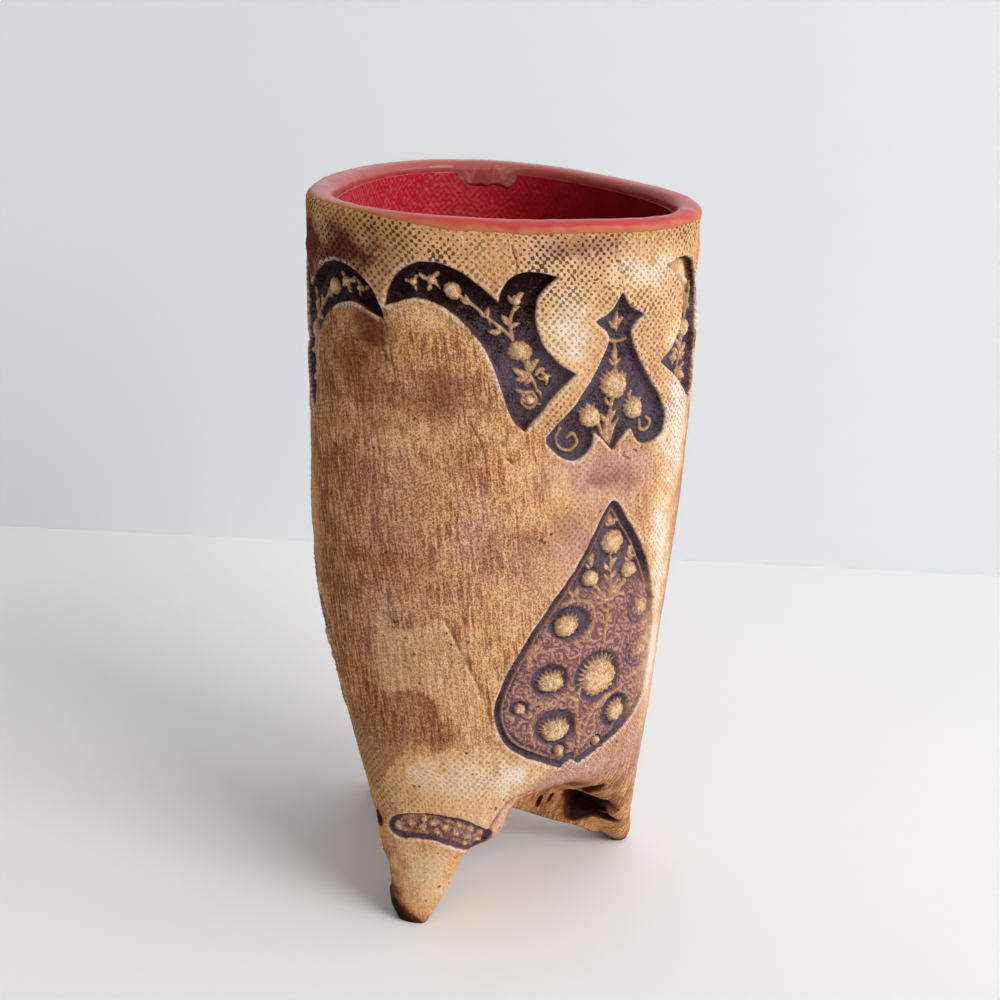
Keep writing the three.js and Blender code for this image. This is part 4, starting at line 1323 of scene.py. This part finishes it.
# Red glaze lining, from just under the lip to the valley of the floor
def makeLiner():
    angle = np.linspace(0, 360, liner["columns"] + 1)[None, :]
    wallShare = shares(liner["wallRows"]) ** liner["rowEase"]
    height = mix(pot["lipBase"] - liner["top"], foldHeight(angle), wallShare)
    along = np.radians(angle) * pot["unrollRadius"] + 0 * height
    coat = liner["coat"] - lipThinning(angle, height) + 0.12 * softNoise(along, height, 14, 103)
    wall = wallPoint(angle, height, pot["wall"] + coat)
    floorShare = shares(liner["floorRows"])[1:]
    floor = floorPoint(angle, floorShare, liner["coat"])
    piece = gridPiece("redLining", settle(np.concatenate([wall, floor])))
    blank = np.zeros((liner["floorRows"], liner["columns"] + 1))
    alongAll = np.concatenate([along, np.broadcast_to(along[:1], blank.shape)])
    layUv(piece, alongAll, np.concatenate([height, foldHeight(angle) - liner["floorDrop"] * floorShare]))
    # the lining's lit side: painted light that turns its shaded red to lit red, with the weave showing there
    canvas = 0.1 + 0.9 * rise(130, 40, angleApart(angle, liner["litAngle"])) + 0 * height
    layers = [0 * height, 0 * height, 0 * height, canvas]
    paintTone(piece, "glazeTone", [np.concatenate([layer, blank]) for layer in layers])
    mergeDoubles(piece)
    activate(piece)
    bpy.ops.object.modifier_add(type="SOLIDIFY")
    piece.modifiers[-1].thickness = liner["thickness"] * mm
    piece.modifiers[-1].offset = -1
    bpy.ops.object.modifier_apply(modifier=piece.modifiers[-1].name)
    finishPiece(piece, "liner_glaze", glazeFinish)


makeLiner()

rim = {
    "columns": 640,
    "innerRows": 16,
    "lipRows": 26,
    "coat": 0.42,
    "bed": 0.3,
    "rounding": 1.0,
    "inside": 1.6,
    "outside": 1.0,
    "curtain": {"angle": 233, "halfAngle": 11, "drop": 3.2, "swell": 0.34},
    "front": {"start": (2, 36), "end": (146, 116), "outside": 0.17},
    "runs": [(54, 14, 0.07), (88, 9, 0.06), (150, 12, 0.2), (190, 9, 0.15), (246, 9, 0.15), (281, 12, 0.15)],
    "paleAngle": 265,
}


# Rose glaze over the lip: from its runs inside, over the top, to an uneven edge at the outer corner
def makeRim():
    angle = np.linspace(0, 360, rim["columns"] + 1)[None, :]
    along = np.radians(angle) * pot["unrollRadius"]
    flat = 0 * along
    curtain = rim["curtain"]
    hangs = rise(1.25, 0.7, angleApart(angle, curtain["angle"]) / curtain["halfAngle"])
    lobes = 0.75 + 0.25 * softNoise(along, flat, 4.5, 101) + 0.18 * softNoise(along, flat, 1.9, 102)
    inside = rim["inside"] + 0.7 * softNoise(along, flat, 9, 111) + 0.35 * softNoise(along, flat, 3, 112)
    inside = np.maximum(inside, 0.3) + curtain["drop"] * hangs * lobes
    front = rim["front"]
    inFront = rise(*front["start"], along) * rise(*front["end"], along)
    outside = mix(rim["outside"], front["outside"], inFront)
    outside = outside + 0.06 * softNoise(along, flat, 8, 113) * (1.5 - inFront)
    outside = outside + 0.03 * softNoise(along, flat, 2.6, 114)
    for place, width, length in rim["runs"]:
        outside = outside - length * rise(1, 0, roundDistance(along, place) / width)
    outside = np.maximum(outside, 0.02)
    below = inside * (1 - shares(rim["innerRows"])[:-1])
    turn = mix(np.pi, outside, shares(rim["lipRows"]))
    innerHeight = pot["lipBase"] - below
    innerRadius = wallRadius(angle, innerHeight) - pot["wall"] + lipThinning(angle, innerHeight)
    wide, tall = lipOval(turn)
    halfLip = (pot["wall"] - lipThinning(angle, pot["lipBase"])) / 2
    climb = lipRise(angle)
    lipRadius = wallRadius(angle, pot["lipBase"] + flat) - halfLip + halfLip * wide
    radius = np.concatenate([innerRadius, lipRadius])
    height = np.concatenate([innerHeight, pot["lipBase"] + climb * tall])
    power = pot["lipSquareness"] - 1
    outward = np.concatenate([0 * below - 1, np.sign(wide) * np.abs(wide) ** power / halfLip])
    upward = np.concatenate([0 * below, tall ** power / climb])
    length = np.maximum(np.hypot(outward, upward), 1e-6)
    outward, upward = outward / length, upward / length
    steps = np.hypot(np.diff(radius, axis=0), np.diff(height, axis=0))
    travel = np.concatenate([flat, np.cumsum(steps, axis=0)])
    fromStart = np.clip(travel / rim["rounding"], 0, 1)
    fromEnd = np.clip((travel[-1:] - travel) / rim["rounding"], 0, 1)
    swelling = np.sqrt((1 - (1 - fromStart) ** 2) * (1 - (1 - fromEnd) ** 2))
    alongAll = np.broadcast_to(along, radius.shape)
    lumps = 0.16 * softNoise(alongAll, height, 12, 115) + 0.1 * softNoise(alongAll, height, 4, 116)
    folds = 1.0 + 0.7 * rise(-0.6, 0.8, softNoise(alongAll, travel, 2.6, 104))
    folds = folds * hangs * curtain["swell"] * rise(inside + 2, inside, travel)
    coat = (rim["coat"] + lumps + folds) * swelling - 0.1
    over = polar(angle, radius + outward * coat, height + upward * coat)
    under = polar(angle, radius - outward * rim["bed"], height - upward * rim["bed"])
    rows = np.concatenate([over, under[::-1], over[:1]])
    piece = gridPiece("roseRim", settle(rows))
    layUv(piece, np.broadcast_to(along, rows.shape[:2]), rows[..., 2])
    rose = rise(0.0, 1.4, travel + 0.5 * softNoise(alongAll, height, 3, 117) - 0.4 * inside * (1 - hangs))
    left = travel[-1:] - travel + 0.7 * softNoise(alongAll, height, 4, 118)
    thin = rise(2.3, 0.2, left + 0.4 * softNoise(alongAll, height, 1.6, 120))
    pale = rise(165, 60, angleApart(angle, rim["paleAngle"])) * 0.85
    pale = pale + 0.25 * softNoise(alongAll, height, 15, 119)
    streaks = 0.75 + 0.6 * softNoise(alongAll, travel, 2.2, 105)
    pale = pale + 0.3 * hangs * rise(inside + 3, inside, travel) * streaks
    layers = [np.clip(layer + 0 * radius, 0, 2) for layer in (rose, thin, pale, 0 * radius)]
    paintTone(piece, "glazeTone", [np.concatenate([layer, layer[::-1], layer[:1]]) for layer in layers])
    mergeDoubles(piece)
    finishPiece(piece, "rim_glaze", glazeFinish)


makeRim()
print("pieces made")

stage = {
    "floorColour": (0.83, 0.82, 0.815),
    "wallColour": (0.80, 0.83, 0.865),
    "floorSize": 6.0,
    "wallDistance": 0.26,
}


# Seen through from its back, so that a camera behind the wall or under the table still sees the vase
def plainFinish(name, colour):
    finish = Finish(name)
    front = 1 - finish.add("ShaderNodeNewGeometry", None, None, "Backfacing")
    return finish.surface({
        "Base Color": (*colour, 1),
        "Roughness": 0.6,
        "Specular IOR Level": 0.2,
        "Alpha": front,
    })


def makeStage():
    bpy.ops.mesh.primitive_plane_add(size=stage["floorSize"], location=(0, 0, 0))
    floor = bpy.context.object
    floor.name = "floor"
    floor.data.materials.append(plainFinish("paleTable", stage["floorColour"]))
    turn = math.radians(view["azimuth"])
    behind = Vector((-math.sin(turn), math.cos(turn), 0)) * stage["wallDistance"]
    upright = (math.radians(90), 0, turn)
    bpy.ops.mesh.primitive_plane_add(size=stage["floorSize"], rotation=upright, location=behind)
    wall = bpy.context.object
    wall.name = "backWall"
    wall.data.materials.append(plainFinish("paleWall", stage["wallColour"]))


view = {
    "azimuth": 19.487,
    "distance": 0.53777,
    "height": 0.29323,
    "pitch": 18.742,
    "roll": 3.007,
    "aimRight": 0.33,
    "lens": 72.0,
    "sensor": 36.0,
}


def makeCamera():
    turn = math.radians(view["azimuth"])
    spot = (math.sin(turn) * view["distance"] + pot["middle"][0] * mm,
            -math.cos(turn) * view["distance"] + pot["middle"][1] * mm, view["height"])
    bpy.ops.object.camera_add(location=spot)
    camera = bpy.context.object
    camera.data.lens = view["lens"]
    camera.data.sensor_width = view["sensor"]
    camera.data.clip_start = 0.01
    camera.rotation_euler = (math.radians(90 - view["pitch"]), 0, turn - math.radians(view["aimRight"]))
    bpy.context.view_layer.update()
    tilt = camera.matrix_world.to_3x3() @ Matrix.Rotation(math.radians(view["roll"]), 3, "Z")
    camera.rotation_euler = tilt.to_euler()
    bpy.context.scene.camera = camera


# Soft lamps by their direction round from the front and up, in degrees
lamps = {
    "key": {"around": 70, "climb": 33, "distance": 3.0, "size": 1.7, "power": 66},
    "side": {"around": 104, "climb": 22, "distance": 3.0, "size": 1.2, "power": 20},
    "top": {"around": 40, "climb": 80, "distance": 2.0, "size": 2.2, "power": 9},
}
lampColours = {"key": (1.0, 0.98, 0.96), "side": (0.74, 0.87, 1.0), "top": (1.0, 0.97, 0.93)}
aimHeight = 0.1
skyColour = (1.0, 0.98, 0.96, 1)
skyStrength = 0.22


def makeLight():
    for name, lamp in lamps.items():
        around, climb = math.radians(lamp["around"]), math.radians(lamp["climb"])
        flat = math.cos(climb)
        toward = Vector((math.sin(around) * flat, -math.cos(around) * flat, math.sin(climb)))
        bpy.ops.object.light_add(type="AREA", location=toward * lamp["distance"] + Vector((0, 0, aimHeight)))
        light = bpy.context.object
        light.name = name
        light.rotation_euler = toward.to_track_quat("Z", "Y").to_euler()
        light.data.size = lamp["size"]
        light.data.energy = lamp["power"]
        light.data.color = lampColours[name]
    world = bpy.data.worlds.new("softRoom")
    bpy.context.scene.world = world
    world.use_nodes = True
    sky = world.node_tree.nodes["Background"].inputs
    sky["Color"].default_value = skyColour
    sky["Strength"].default_value = skyStrength


makeStage()
makeCamera()
makeLight()
bpy.context.scene.view_settings.view_transform = "Standard"
print("stage, camera and light set")
